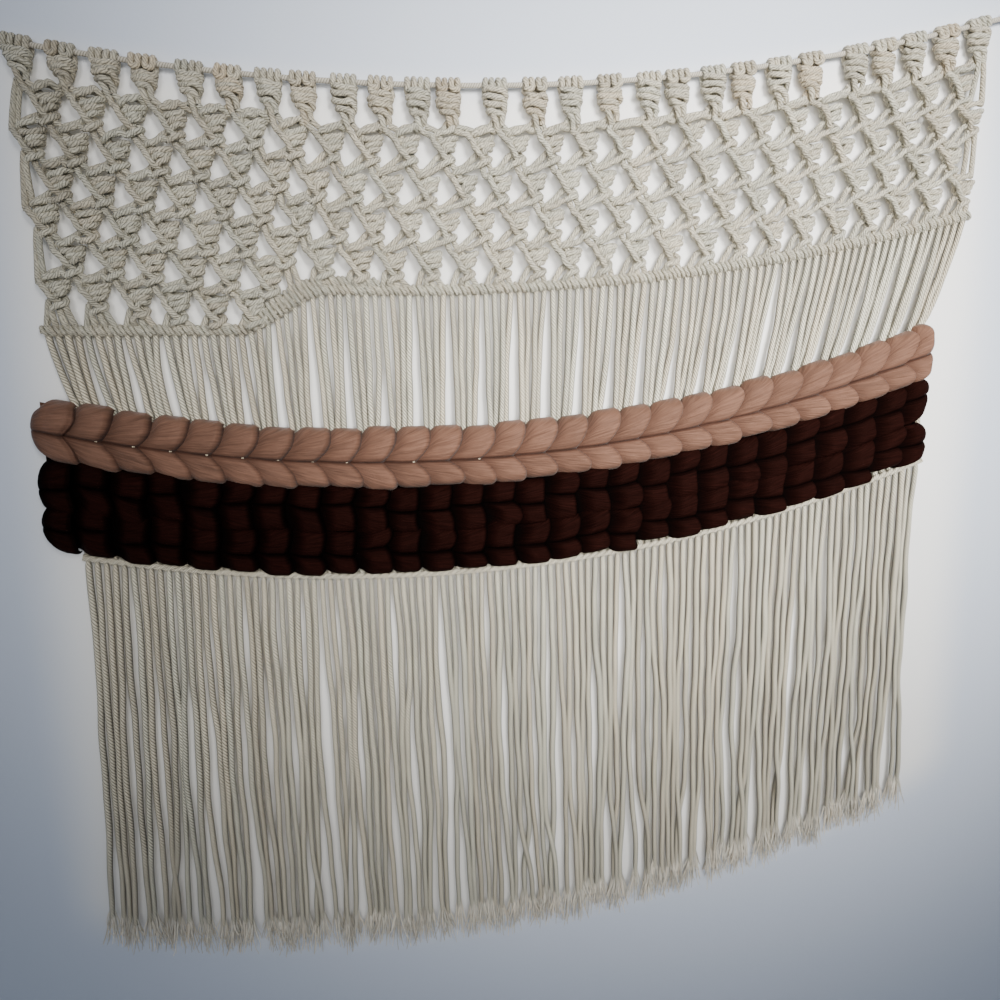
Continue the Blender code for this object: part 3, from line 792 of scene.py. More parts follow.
@dataclass
class HoldingCord(Piece):
    """The thin cord that all hangs from, with its knotted ends."""

    radius: float = 1.35 * MM
    tail: float = 15.5 * MM
    knot_radius: float = 2.1 * MM
    knot_half_length: float = 2.0 * MM
    knot_inset: float = 3.2 * MM
    knot_wire: float = 1.15 * MM
    knot_turns: float = 1.5
    knot_skew: float = 0.66
    knot_stations: int = 44
    stations: int = 260

    def build(self) -> None:
        """Builds the cord and a plain knot at each end."""
        layout = self.layout
        surfaces = Surfaces()
        left, right = (float(layout.head_x(group)) for group in (0, layout.groups - 1))
        reach = layout.head_half_width + self.tail
        x = np.linspace(left - reach, right + reach, self.stations)
        surfaces.add_tubes(as_points(x, 0.0, layout.mount_z(x))[None], self.radius, np.array([0.3]), sides=10)
        turn = np.linspace(0, math.tau * self.knot_turns, self.knot_stations)
        for end, way in ((x[0], 1), (x[-1], -1)):
            middle = end + way * self.knot_inset
            knot = as_points(
                middle + self.knot_half_length * np.sin(turn * self.knot_skew) * way,
                -self.knot_radius * np.cos(turn),
                float(layout.mount_z(middle)) + self.knot_radius * np.sin(turn),
            )
            surfaces.add_tubes(knot[None], self.knot_wire, np.array([0.5]))
        self.finish(surfaces.make("holding_cord_twist", Finish.THIN_COTTON.material()))


class HeadStyle(Enum):
    """Which side of a lark's head shows. A reversed one shows the bar of its loop."""

    PLAIN = 1
    REVERSED = -1


@dataclass
class LarksHeads(Piece):
    """Two larks' heads for each group of cords, over the holding cord."""

    cord_radius: float = 1.5 * MM
    wrap: float = 2.6 * MM
    spread: float = 3.4 * MM
    half: float = 1.62 * MM
    foot: float = -2.8 * MM
    plain_bar: float = -3.6 * MM
    reversed_bar: float = -3.1 * MM
    shake: float = 0.12 * MM
    per_step: int = 4

    @staticmethod
    def style(group: int) -> HeadStyle:
        """Every other group is mounted the other way round."""
        return HeadStyle.REVERSED if group % 2 else HeadStyle.PLAIN

    def route(self, style: HeadStyle) -> np.ndarray:
        """The way of one cord through its head: up, over the holding cord, across as a bar, and back the same way."""
        half, wrap = self.half, self.wrap
        bar = self.reversed_bar if style is HeadStyle.REVERSED else self.plain_bar
        leg = [
            (half, 0.70 * wrap, self.foot),
            (half, 0.95 * wrap, -0.8 * MM),
            (half, 0.72 * wrap, 1.6 * MM),
            (half, 0.0, 2.4 * MM),
            (half, -0.74 * wrap, 1.7 * MM),
            (half * 1.02, -1.04 * wrap, -0.2 * MM),
            (half * 1.05, -1.14 * wrap, bar + 1.0 * MM),
            (half * 0.55, -1.24 * wrap, bar),
        ]
        way = np.array(leg + [(-x, y, z) for x, y, z in reversed(leg)])
        if style is HeadStyle.PLAIN:
            way[:, 1] *= -1
        return way

    def build(self) -> None:
        """Builds all the heads."""
        layout = self.layout
        surfaces = Surfaces()
        rng = np.random.default_rng(31)
        for style in HeadStyle:
            groups = [g for g in range(layout.groups) if self.style(g) is style]
            paths, tones = [], []
            for group in groups:
                x = float(layout.head_x(group))
                slope = math.atan(layout.holding_slope(x))
                cos, sin = math.cos(slope), math.sin(slope)
                turn = np.array([[cos, 0, sin], [0, 1, 0], [-sin, 0, cos]])
                for way in (-1, 1):
                    route = self.route(style) + np.array([way * self.spread, 0, 0])
                    route = route + rng.normal(0, self.shake, route.shape)
                    paths.append(route @ turn + np.array([x, 0, float(layout.mount_z(x))]))
                    tones.append(rng.uniform(0.0, 0.9) + (1.0 if style is HeadStyle.REVERSED else 0.0))
            stations = smooth_paths(np.array(paths), self.per_step)
            surfaces.add_tubes(stations, self.cord_radius, np.array(tones))
        self.finish(surfaces.make("larks_heads", Finish.KNOTTED_COTTON.material()))


@dataclass(frozen=True)
class CordRoute:
    """One cord's way through a square knot, in millimetres from the knot's centre, and the foot where it leaves."""

    points: tuple[Point, ...]
    leaves: str


@dataclass(frozen=True)
class Foot:
    """Where a cord leaves a knot, and which way it goes there, in millimetres."""

    place: Point
    way: Point

    def at(self, centres: np.ndarray) -> np.ndarray:
        """Where the foot is for knots with these centres."""
        return centres + np.array(self.place) * MM


FEET: dict[str, Foot] = {
    "right_low": Foot((-0.1, -0.6, -8.2), (0.8, 0.0, -2.3)),
    "right_high": Foot((3.0, -1.5, -6.6), (1.2, 0.0, -2.1)),
    "left_high": Foot((-4.9, -0.2, -3.4), (-1.5, -0.1, -1.9)),
    "left_low": Foot((-2.8, -4.0, -8.0), (-2.0, 0.2, -0.9)),
}

MOUNT_FEET: dict[str, Foot] = {
    "right_low": Foot((1.2, -1.2, -8.8), (0.8, 0.0, -2.2)),
    "right_high": Foot((3.6, -2.2, -7.2), (1.2, 0.0, -2.1)),
    "left_high": Foot((-2.4, 0.6, -6.6), (-1.6, 0.0, -1.8)),
    "left_low": Foot((-0.8, 0.8, -9.0), (-1.5, 0.0, -1.9)),
}

# A cord from the upper left runs down to the right along the knot's edge, in front of its middle. The cords from the
# upper right are tied around the other one in turns, each shorter than the one over it. One of them lies along the
# knot's top and crosses its foot, both times in front
NET_KNOT: dict[str, CordRoute] = {
    "left_low": CordRoute(
        (
            (-8.6, -2.6, 7.4), (-7.1, -3.8, 5.4), (-5.7, -4.8, 3.2), (-4.2, -5.1, 0.9), (-2.6, -4.6, -1.5),
            (-0.6, -2.7, -4.0),
        ),
        "right_high",
    ),
    "left_high": CordRoute(
        (
            (-5.5, -1.2, 10.1), (-3.5, -1.6, 7.4), (-1.6, -1.0, 4.4), (-0.2, -0.5, 1.0), (-0.1, -0.4, -2.4),
            (-0.6, -0.4, -5.2),
        ),
        "right_low",
    ),
    "right_high": CordRoute(
        (
            (-0.6, -1.6, 11.2), (-4.0, -0.6, 9.6), (-3.8, 2.2, 7.6), (0.6, 2.6, 6.4), (4.4, 1.4, 6.8),
            (5.7, -0.9, 6.5), (4.0, -3.3, 5.5), (0.8, -4.4, 4.7), (-2.6, -3.9, 4.0), (-4.2, -2.0, 3.4),
            (-3.4, 0.8, 2.6), (0.0, 2.2, 1.8), (3.4, 1.2, 1.5), (4.1, -0.9, 1.1), (3.0, -3.4, 0.2),
            (0.8, -4.0, -0.6), (-1.0, -3.0, -1.4), (-2.8, -1.2, -2.2),
        ),
        "left_high",
    ),
    "right_low": CordRoute(
        (
            (3.9, -4.0, 10.8), (1.4, -4.4, 9.4), (-1.6, -4.4, 8.5), (-4.6, -3.8, 7.9), (-5.6, -1.2, 6.6),
            (-3.0, 1.6, 5.0), (0.6, 2.4, 4.0), (4.0, 1.4, 4.0), (5.0, -0.9, 3.7), (3.6, -3.4, 2.8),
            (0.8, -4.4, 2.1), (-1.8, -3.7, 1.4), (-2.8, -1.4, 0.6), (-0.8, 1.4, -0.8), (2.4, 1.2, -2.6),
            (4.0, -0.8, -4.2), (3.0, -3.6, -5.6), (0.2, -4.8, -6.8),
        ),
        "left_low",
    ),
}

# The outer cords of a group are tied around its inner ones, right under the larks' heads, tighter and tighter
MOUNT_KNOT: dict[str, CordRoute] = {
    "left_high": CordRoute(
        (
            (-4.9, -2.4, 10.6), (-2.6, -4.0, 9.8), (0.6, -4.5, 9.4), (3.8, -3.8, 9.1), (5.4, -1.4, 8.2),
            (4.8, 1.2, 6.8), (1.0, 2.6, 5.8), (-3.2, 2.0, 5.2), (-4.8, -0.4, 4.4), (-3.3, -3.2, 3.5),
            (0.0, -4.4, 3.0), (3.0, -3.9, 2.6), (4.6, -1.6, 1.4), (4.2, 0.8, -0.4), (1.6, 2.1, -2.0),
            (-0.8, 1.7, -4.2),
        ),
        "left_high",
    ),
    "right_high": CordRoute(
        (
            (5.4, -0.4, 10.2), (4.8, 1.6, 9.0), (0.8, 2.8, 8.2), (-3.6, 2.0, 7.8), (-5.3, -0.6, 7.2),
            (-3.7, -3.5, 6.6), (0.0, -4.5, 6.2), (3.6, -4.0, 5.8), (5.0, -1.6, 4.6), (4.2, 1.2, 3.0),
            (0.8, 2.5, 1.7), (-2.6, 1.6, 1.0), (-3.7, -0.8, 0.3), (-2.1, -3.2, -0.5), (0.6, -4.1, -1.2),
            (3.0, -3.6, -2.6), (3.6, -2.8, -4.8),
        ),
        "right_high",
    ),
    "left_low": CordRoute(((-1.7, 0.3, 9.0), (-1.6, 0.0, 4.0), (-1.2, -1.6, -1.0), (0.2, -3.0, -5.0)), "right_low"),
    "right_low": CordRoute(((1.7, 0.3, 9.0), (1.6, 0.0, 4.0), (1.6, 0.2, -1.0), (0.8, 0.4, -5.4)), "left_low"),
}


@dataclass
class SquareKnots(Piece):
    """The net's knots and the cords between them."""

    cord_radius: float = 1.56 * MM
    mount_sides: tuple[float, float] = (5.02 * MM, 1.78 * MM)
    mount_y: float = 2.1 * MM
    mount_foot: float = -2.8 * MM
    mount_way: Point = (0, 0, -2.4 * MM)
    mount_tops: tuple[float, float] = (3.0 * MM, 5.4 * MM)
    mount_height: float = 10.6 * MM
    per_step: int = 3
    shake: float = 0.34 * MM
    sizes: tuple[float, float] = (0.93, 1.04)
    lumps: float = 0.07
    radius_scatter: float = 0.04
    end_y: float = 0.4 * MM
    end_above: float = 1.2 * MM
    seed: int = 11

    def sources(self, places: dict, row: int, column: float) -> dict[str, tuple[np.ndarray, np.ndarray]]:
        """Where each of a knot's four cords comes from, and which way it runs there.

        Args:
            places: The centres of all the knots.
            row: The knot's row.
            column: The knot's column.

        Returns:
            For each of the knot's routes, the foot of a knot above it, or a tail of a lark's head, and its direction.
        """
        if row == 0:
            return self.tails(places[row, column][0], int(column))
        found = {}
        for side, other, way in (("left", "right", -1), ("right", "left", 1)):
            above, levels = (row - 1, column + way / 2), ("high", "low")
            if above not in places:  # past the net's edge a cord comes from the knot two rows up
                above, other, levels = (row - 2, column), side, ("low", "high")
            centre = np.array([places[above][0], 0, places[above][1]])
            for level, level_above in zip(("high", "low"), levels):
                foot = (FEET if above[0] else MOUNT_FEET)[f"{other}_{level_above}"]
                found[f"{side}_{level}"] = (foot.at(centre), np.array(foot.way) * MM)
        return found

    def tails(self, x: float, group: int) -> dict[str, tuple[np.ndarray, np.ndarray]]:
        """Where the four tails of a group's larks' heads start, and which way they run there."""
        y = -self.mount_y if LarksHeads.style(group) is HeadStyle.PLAIN else self.mount_y
        z = float(self.layout.mount_z(x)) + self.mount_foot
        return {
            f"{side}_{level}": (np.array([x + way * out, y, z]), np.array(self.mount_way))
            for side, way in (("left", -1), ("right", 1))
            for level, out in zip(("high", "low"), self.mount_sides)
        }

    def build(self) -> None:
        """Builds the knots, in objects of neighbouring rows, and the cords from the last knots to the bar."""
        layout = self.layout
        places = layout.knot_places()
        for name, rows in (("net_knots_upper", range(0, 3)), ("net_knots_lower", range(3, layout.rows))):
            surfaces = Surfaces()
            for knot, feet, wanted in ((MOUNT_KNOT, MOUNT_FEET, {0}), (NET_KNOT, FEET, set(rows) - {0})):
                chosen = [key for key in places if key[0] in wanted.intersection(rows)]
                if chosen:
                    self.add_knots(surfaces, places, chosen, knot, feet)
            if rows.stop == layout.rows:
                self.add_ends(surfaces, places)
            self.finish(surfaces.make(name, Finish.KNOTTED_COTTON.material()))

    def add_knots(
        self, surfaces: Surfaces, places: dict, chosen: list, knot: dict[str, CordRoute], feet: dict[str, Foot]
    ) -> None:
        """Adds the four cords of each chosen knot.

        Args:
            surfaces: What they are added to.
            places: The centres of all the knots.
            chosen: The knots' rows and columns.
            knot: The way that each cord takes.
            feet: Where the cords leave the knots.
        """
        many = len(chosen)
        rng = np.random.default_rng(self.seed + chosen[0][0])
        centres = np.array([(places[key][0], 0.0, places[key][1]) for key in chosen])
        sources = [self.sources(places, *key) for key in chosen]
        warm = np.array([1.0 if row == 0 and int(column) % 2 else 0.0 for row, column in chosen])
        stretch = np.array([self.stretch(places, *key) for key in chosen])[:, None]
        size = rng.uniform(*self.sizes, (many, 1, 1))
        for label, route in knot.items():
            shape = np.array(route.points) * MM * size
            shape[..., 2] = np.where(shape[..., 2] > 0, shape[..., 2] * stretch, shape[..., 2])
            inside = centres[:, None] + shape + rng.normal(0, self.shake, shape.shape)
            start, start_way = (np.array([source[label][part] for source in sources]) for part in (0, 1))
            foot = feet[route.leaves]
            control = np.concatenate([start[:, None], inside, foot.at(centres)[:, None]], axis=1)
            before = control[:, 1] - 2 * start_way
            after = control[:, -2] + 2 * np.array(foot.way) * MM
            stations = smooth_paths(control, self.per_step, before, after)
            tone = rng.uniform(0.0, 0.9, many) + warm
            lumps = np.sin(np.arange(stations.shape[1])[None] * 0.9 + rng.uniform(0, 6, (many, 1)))
            radius = self.cord_radius * (1 + self.lumps * lumps + rng.normal(0, self.radius_scatter, lumps.shape))
            surfaces.add_tubes(stations, radius, tone, sides=7, start_uv=rng.uniform(0, 0.01, many))

    def stretch(self, places: dict, row: int, column: float) -> float:
        """How tall the upper half of a knot is, as a share of its route's. A mount knot reaches up to its larks' heads.

        Args:
            places: The centres of all the knots.
            row: The knot's row.
            column: The knot's column.

        Returns:
            The share, which is 1 under the first row.
        """
        if row > 0:
            return 1.0
        x, z = places[row, column]
        top = self.mount_tops[int(column) % 2]
        return (float(self.layout.mount_z(x)) - top - z) / self.mount_height

    def add_ends(self, surfaces: Surfaces, places: dict) -> None:
        """Adds the cords that run from the last knots down to the bar."""
        layout = self.layout
        starts, ways, ends = [], [], []
        for (row, column), (x, z) in places.items():
            first = round(layout.cords_in_group * column)
            for side, way in (("left", -1), ("right", 1)):
                beside = column + way / 2
                past_edge = beside < 0 or beside > layout.groups - 1
                if ((row + 2, column) if past_edge else (row + 1, beside)) in places:
                    continue
                for level, cord in zip(("high", "low"), (0, 1) if way < 0 else (3, 2)):
                    foot = FEET[f"{side}_{level}"]
                    end_x = float(layout.bar_x(min(max(first + cord, 0), layout.cords - 1)))
                    starts.append(foot.at(np.array([x, 0, z])))
                    ways.append(np.array(foot.way) * MM)
                    ends.append(np.array([end_x, self.end_y, float(layout.bar_z(end_x)) + self.end_above]))
        starts, ways, ends = np.array(starts), np.array(ways), np.array(ends)
        middle = blend(starts, ends, 0.5) + np.array([0, -0.4, 0]) * MM
        control = np.stack([starts, middle, ends], axis=1)
        stations = smooth_paths(control, 6, middle - 2 * ways, ends + np.array([0, 0, -2]) * MM)
        surfaces.add_tubes(stations, self.cord_radius, self.tones(len(stations), 5))


@dataclass
class HitchBar(Piece):
    """The bar of double half hitches under the net, with the short second line of hitches over it at its step."""

    cord_radius: float = 1.02 * MM
    wrap: float = 1.8 * MM
    core_radius: float = 1.3 * MM
    stations: int = 26
    overhang: float = 3.0 * MM
    lean: float = 1.9 * MM
    turns: tuple[float, float] = (-0.04, 1.54)
    slant: tuple[float, float] = (0.42, 0.56)
    second_line_x: tuple[float, float] = (-158 * MM, -88 * MM)
    second_line_above: float = 4.2 * MM
    size_scatter: tuple[float, float] = (-0.08, 0.14)
    place_scatter: float = 0.1 * MM
    lift_scatter: float = 0.15 * MM

    def build(self) -> None:
        """Builds both lines of hitches."""
        surfaces = Surfaces()
        x = self.layout.bar_x(np.arange(self.layout.cords))
        self.add_line(surfaces, x, 0.0, 3)
        low, high = self.second_line_x
        self.add_line(surfaces, x[(x > low) & (x < high)], self.second_line_above, 4)
        self.finish(surfaces.make("half_hitch_bar", Finish.KNOTTED_COTTON.material()))

    def add_line(self, surfaces: Surfaces, x: np.ndarray, above: float, seed: int) -> None:
        """Adds a core cord and two turns around it for every cord.

        Args:
            surfaces: What they are added to.
            x: Where the cords are.
            above: How far the line lies above the bar's own height.
            seed: What its unevenness starts from.
        """
        rng = np.random.default_rng(seed)
        pitch = float(np.diff(x).mean())
        along = np.linspace(x[0] - self.overhang, x[-1] + self.overhang, 3 * len(x))
        core = as_points(along, 0.0, self.layout.bar_z(along) + above)
        surfaces.add_tubes(core[None], self.core_radius, np.array([0.4]))
        turn = np.linspace(self.turns[0] * math.tau, self.turns[1] * math.tau, self.stations)[None]
        shift = pitch * (self.slant[0] - self.slant[1] * turn / math.tau)  # the turns of a hitch lie side by side
        place = x[:, None] + shift + rng.normal(0, self.place_scatter, (len(x), 1))
        size = self.wrap * (1 + rng.uniform(*self.size_scatter, (len(x), 1)))
        lift = rng.normal(0, self.lift_scatter, (len(x), 1))
        way = as_points(
            place - self.lean * np.cos(turn),  # the front of each turn runs down to the right
            -size * np.sin(turn) * 1.05,
            self.layout.bar_z(place) + above + size * 1.12 * np.cos(turn) + lift,
        )
        surfaces.add_tubes(way, self.cord_radius, rng.uniform(0, 0.9, len(x)), sides=7)


@dataclass
class RunningCords(Piece):
    """The cords from the bar down through the wool."""

    cord_radius: float = 1.6 * MM
    loose_radius: float = 1.72 * MM
    gathered_depth: float = 1.1 * MM
    bow: float = 0.55 * MM
    ripple: float = 0.22 * MM
    depth_bow: float = 0.3 * MM
    radius_scatter: float = 0.05
    widening: tuple[float, float] = (0.02, 0.22)
    bar_y: float = 0.9 * MM
    root_y: float = 0.7 * MM
    bar_foot: float = 1.6 * MM
    gathered_z: float = -185 * MM
    band_foot_z: float = -264 * MM
    upper_shares: tuple[float, ...] = (0.0, 0.16, 0.34, 0.52, 0.70, 0.86, 1.0)
    lower_shares: tuple[float, ...] = (0.35, 0.7, 1.0)
    peeps: int = 13
    peep_z: float = -199.3 * MM
    peep_y: float = -9.2 * MM
    peep_radius: float = 0.85 * MM

    def build(self) -> None:
        """Builds every cord, gathered in fours where it goes into the wool."""
        layout, surfaces = self.layout, Surfaces()
        rng = np.random.default_rng(17)
        cord = np.arange(layout.cords)[:, None]
        many = len(cord)
        x0, x1, x2 = layout.bar_x(cord), layout.gathered_x(cord), layout.root_x(cord)
        z0 = layout.bar_z(x0) - self.bar_foot
        z1, z2 = layout.band_z(x1, self.gathered_z), layout.band_z(x2, self.band_foot_z)
        side = np.where(cord % layout.cords_in_group % 2 == 0, -1.0, 1.0)
        front = side * self.gathered_depth * rng.uniform(0.6, 1.3, (many, 1))
        share = np.array(self.upper_shares)[None]
        hang = np.sin(share * math.pi)
        bow = rng.normal(0, self.bow, (many, 1)) * hang
        ripple = rng.normal(0, self.ripple, (many, share.size)) * hang
        x = blend(x0, x1, share**1.15) + bow + ripple
        y = blend(self.bar_y, front, share) + rng.normal(0, self.depth_bow, (many, 1)) * hang
        upper = as_points(x, y, blend(z0, z1, share))
        share = np.array(self.lower_shares)[None]
        lower = as_points(blend(x1, x2, share), self.root_y, blend(z1, z2, share))
        stations = smooth_paths(np.concatenate([upper, lower], axis=1), 3)
        share = np.linspace(0, 1, stations.shape[1])[None]
        radius = blend(self.cord_radius, self.loose_radius, smooth_step(share, *self.widening))
        radius = radius * (1 + self.radius_scatter * rng.normal(0, 1, (many, 1)))
        surfaces.add_tubes(stations, radius, self.tones(many, 21), start_uv=rng.uniform(0, 0.01, many))
        self.add_peeps(surfaces, rng)
        self.finish(surfaces.make("running_cords", Finish.COTTON.material()))

    def add_peeps(self, surfaces: Surfaces, rng: np.random.Generator) -> None:
        """Adds the bits of cord that peep out at the middle of the pink row. There are fewer to the right."""
        stitch = np.arange(1, self.peeps)
        stitch = stitch[rng.uniform(0, 1, len(stitch)) < 1.25 - stitch / self.peeps]
        x = self.layout.node_x(stitch)[:, None] - 1.3 * MM
        share = np.linspace(-1, 1, 5)[None]
        z = self.layout.band_z(x, self.peep_z) + share * 0.8 * MM
        peep = as_points(x, self.peep_y + 0.5 * MM * share**2, z)
        radius = np.broadcast_to(self.peep_radius * np.sqrt(1.02 - share**2), peep.shape[:2])
        surfaces.add_tubes(peep, radius, np.full(len(x), 1.9))


@dataclass(frozen=True)
class LegShape:
    """One leg of a stitch of roving, above its row's middle. The leg under it is its mirror image.

    Heights and depths that aren't in metres are shares of the leg's own. The pairs of numbers are shares of its length
    between which it changes. Some fields paint shade: the leg is darker at its start, under the leg before it, and
    towards its end, and the crease at the row's middle is darker across crease_width, keeping crease_light of its
    brightness.
    """

    lean: float = 8.0 * MM
    tuck: float = 2.8 * MM
    notch: float = 5.0 * MM
    shoulder: float = 0.40
    corner: float = 1.7 * MM
    start_depth: float = 0.50
    rise: tuple[float, float] = (0.0, 0.76)
    end_depth: float = 0.44
    crease_depth: float = 0.66
    edge_depth: float = 0.0
    overlap: float = 0.0
    # painted shade: the brightness at the leg's start, under the leg before it
    tucked_shade: float = 0.62
    unevenness: float = 0.65 * MM
    end_scatter: float = 0.4 * MM
    notch_scatter: float = 0.5 * MM
    front_scatter: float = 0.04
    scatter: float = 0.0
    stagger: float = 0.0
    # the shares and widths over which painted shade darkens the leg's start, its end and the middle crease
    dark_start: tuple[float, float] = (0.08, 0.5)
    dark_end: float = 0.93
    crease_width: float = 0.07
    crease_light: float = 0.0
    rows: int = 18
    columns: int = 26


PINK_LEG = LegShape()
PINK_FOOT = replace(PINK_LEG, notch=2.4 * MM, corner=1.1 * MM, start_depth=0.66)
BROWN_FOOT = LegShape(
    lean=2.2 * MM,
    tuck=3.6 * MM,
    notch=3.2 * MM,
    corner=2.2 * MM,
    start_depth=0.20,
    rise=(0.14, 0.58),
    end_depth=0.18,
    crease_depth=0.55,
    tucked_shade=0.1,
    unevenness=0.8 * MM,
    scatter=0.9 * MM,
    stagger=3.0 * MM,
    dark_start=(0.10, 0.52),
    dark_end=0.86,
    crease_width=0.12,
    crease_light=0.4,
    rows=14,
    columns=20,
)
BROWN_UNDER_PINK = replace(BROWN_FOOT, notch=0.3 * MM, corner=0.5 * MM, edge_depth=0.12)
BROWN_INNER = replace(BROWN_UNDER_PINK, edge_depth=0.50, overlap=1.3 * MM)


@dataclass
class RovingRow(Piece):
    """A row of stitches of roving, each with a leg above the row's middle and a leg under it.

    The heights are those of the row's top, middle and foot in its lowest place. The insets are how far its back stays
    under its top and over its foot.
    """

    name: str
    kind: Finish
    heights: tuple[float, float, float]
    front: float
    upper: LegShape
    lower: LegShape
    insets: tuple[float, float]
    seed: int
    back_y: float = -1.9 * MM
    float_y: float = 2.4 * MM
    float_depth: float = 2.2 * MM
    float_rings: int = 9
    float_sides: int = 14
    end_reach: float = 7 * MM

    def build(self) -> None:
        """Builds the legs, the row's back, and the floats behind the cords."""
        surfaces = Surfaces()
        top, middle, foot = self.heights
        self.add_legs(surfaces, self.upper, middle, top, self.seed)
        self.add_legs(surfaces, self.lower, middle, foot, self.seed + 1)
        self.add_back(surfaces, top, foot)
        self.add_floats(surfaces, middle, 0.42 * (top - foot))
        self.finish(surfaces.make(self.name, self.kind.material()))

    def add_legs(self, surfaces: Surfaces, shape: LegShape, middle: float, outer: float, seed: int) -> None:
        """Adds one leg for every stitch.

        A leg runs from its stitch's start (u = 0) to its end (u = 1), and from the row's middle (v = 0) to the row's
        edge (v = 1). It gets thicker along u and drops at its end over the next leg's start. Across v it rises from
        the crease at the row's middle and rounds back at the row's edge. Painted shade darkens the crease, the leg's
        start under the leg before it, and its end.

        Args:
            surfaces: What they are added to.
            shape: The leg's shape.
            middle: The lowest height of the row's middle.
            outer: The lowest height of the row's edge on the leg's side.
            seed: What the legs' unevenness starts from.
        """
        rng = np.random.default_rng(seed)
        stitch = np.arange(-1, self.layout.groups)[:, None, None]
        many = len(stitch)
        places = (shape.unevenness, shape.scatter, shape.end_scatter, shape.notch_scatter, shape.unevenness)
        lean, astray, end, notch, height, wave, cross_wave, front = (
            np.clip(rng.normal(0, amount, (many, 1, 1)), -2 * amount, 2 * amount)
            for amount in (*places, 3.0, 3.0, shape.front_scatter)
        )
        u = np.sin(0.5 * math.pi * np.linspace(0, 1, shape.columns))[None, None, :]
        v = (0.5 - 0.5 * np.cos(math.pi * np.linspace(0.0, 1, shape.rows)))[None, :, None]
        under = np.clip(v * 60, 0, 1)  # the first row of points lies under the crease
        side = math.copysign(1.0, outer - middle)
        x = self.leg_x(shape, stitch, u, v, (shape.lean + lean, astray, end))
        steps, tilts = np.random.default_rng(self.seed + 3).uniform(-1, 1, (2, many, 1, 1)) * shape.stagger
        stagger = (steps + tilts * (u - 0.5)) * (1 - 0.6 * v**2)
        edge = smooth_step(u, 0.02, shape.shoulder)
        drop = (shape.notch + notch) * (1 - edge) + shape.corner * smooth_step(u, 0.86, 1.03)
        height = np.abs(outer - middle) + shape.overlap + height * edge - drop
        z = self.layout.band_z(x, middle) + stagger + side * (height * v - 0.7 * MM * (1 - under))
        inner = blend(shape.crease_depth, 1.0, np.sqrt(1 - (1 - np.clip(v / 0.32, 0, 1)) ** 2)) - 0.14 * (1 - under)
        outside = blend(shape.edge_depth, 1.0, np.sqrt(1 - np.clip((v - 0.62) / 0.38, 0, 1) ** 2))
        body = self.leg_body(shape, stitch, u) * inner * outside
        ripple = 0.22 * MM * np.sin(v * 11 + u * 3 + wave) + 0.2 * MM * np.sin(v * 5 - u * 7 + cross_wave)
        y = self.back_y - (self.front - 0.4 * MM) * (1 + front) * body + ripple * body
        grid = as_points(x, y, z)
        # painted shade: darker in the crease at the row's middle, towards the leg's end, and at its start under the leg
        # before it
        crease = blend(shape.crease_light, 1.0, smooth_step(v, -0.01, shape.crease_width))
        crease = crease * (1 - smooth_step(u, shape.dark_end, 1.0) * 0.8)
        shade = blend(shape.tucked_shade, 1.0, smooth_step(u, *shape.dark_start)) * blend(0.75, 1.0, smooth_step(v, 0.0, 0.3))
        depth = np.broadcast_to(crease * shade, grid.shape[:3])
        uv = np.stack(np.broadcast_arrays(u * 26 + 31 * stitch, 15 * v / (0.52 + 0.48 * u)), axis=-1)
        if side < 0:
            grid, depth, uv = grid[:, ::-1], depth[:, ::-1], uv[:, ::-1]
        surfaces.add_grids(grid, uv, rng.uniform(0, 1, many), depth)

    def leg_x(
        self, shape: LegShape, stitch: np.ndarray, u: np.ndarray, v: np.ndarray, uneven: tuple[np.ndarray, ...]
    ) -> np.ndarray:
        """Where the points of the legs are along the row, both ends of which are plainly rounded.

        Args:
            shape: The leg's shape.
            stitch: The stitches' numbers.
            u: The shares along a leg.
            v: The shares across it.
            uneven: How far each leg leans, how far its middle lies astray, and how far its end does besides.

        Returns:
            X for every stitch, v and u.
        """
        layout = self.layout
        lean, astray, end = uneven
        here = layout.node_x(stitch)
        bow = np.sin(0.5 * math.pi * np.clip(v / 0.74, 0, 1)) ** 0.9 - 0.07 * smooth_step(v, 0.8, 1.0)
        middle = np.sin(math.pi * v)
        left = here - shape.tuck + 0.9 * lean * bow + astray * middle
        right = here + layout.band_pitch + 0.5 * MM + lean * bow + astray * middle + end * middle
        round_off = 1 - np.sqrt(1 - v**2)
        left = np.where(stitch < 0, here + self.end_reach * (0.25 + round_off), left)
        row_end = here + layout.band_pitch + self.end_reach * (0.3 - round_off)
        return blend(left, np.where(stitch == layout.groups - 1, row_end, right), u)

    def leg_body(self, shape: LegShape, stitch: np.ndarray, u: np.ndarray) -> np.ndarray:
        """How thick the legs are along u, as a share. The first and the last one round off to nothing."""
        along = blend(shape.start_depth, 1.0, smooth_step(u, *shape.rise))
        along = along * np.sqrt(1 - (1 - shape.end_depth**2) * np.clip((u - 0.85) / 0.15, 0, 1) ** 2)
        rounded = np.sqrt(np.clip(1 - (1 - u / 0.4) ** 2, 0, 1) * (u < 0.4) + (u >= 0.4))
        along = np.where(stitch < 0, np.maximum(along, 0.8) * rounded, along)
        ended = along * np.sqrt(1 - 0.999 * np.clip((u - 0.62) / 0.38, 0, 1) ** 2)
        return np.where(stitch == self.layout.groups - 1, ended, along)

    def add_back(self, surfaces: Surfaces, top: float, foot: float) -> None:
        """Adds the sheet of fibres that closes the row behind its legs."""
        layout = self.layout
        start = float(layout.node_x(-1)) + self.end_reach
        end = float(layout.node_x(layout.groups)) - 0.5 * self.end_reach
        x = np.linspace(start, end, 110)[None, None, :]
        share = np.linspace(0, 1, 6)[None, :, None]
        z = layout.band_z(x, 0.0) + blend(top - self.insets[0], foot + self.insets[1], share)
        grid = as_points(x, self.back_y - 0.3 * MM, z)
        uv = np.stack(np.broadcast_arrays((x - start) / MM, share * 30), axis=-1)
        # painted shade: the back sheet is darkened to half brightness all over
        surfaces.add_grids(grid, uv, np.array([0.5]), np.full(grid.shape[:3], 0.5))

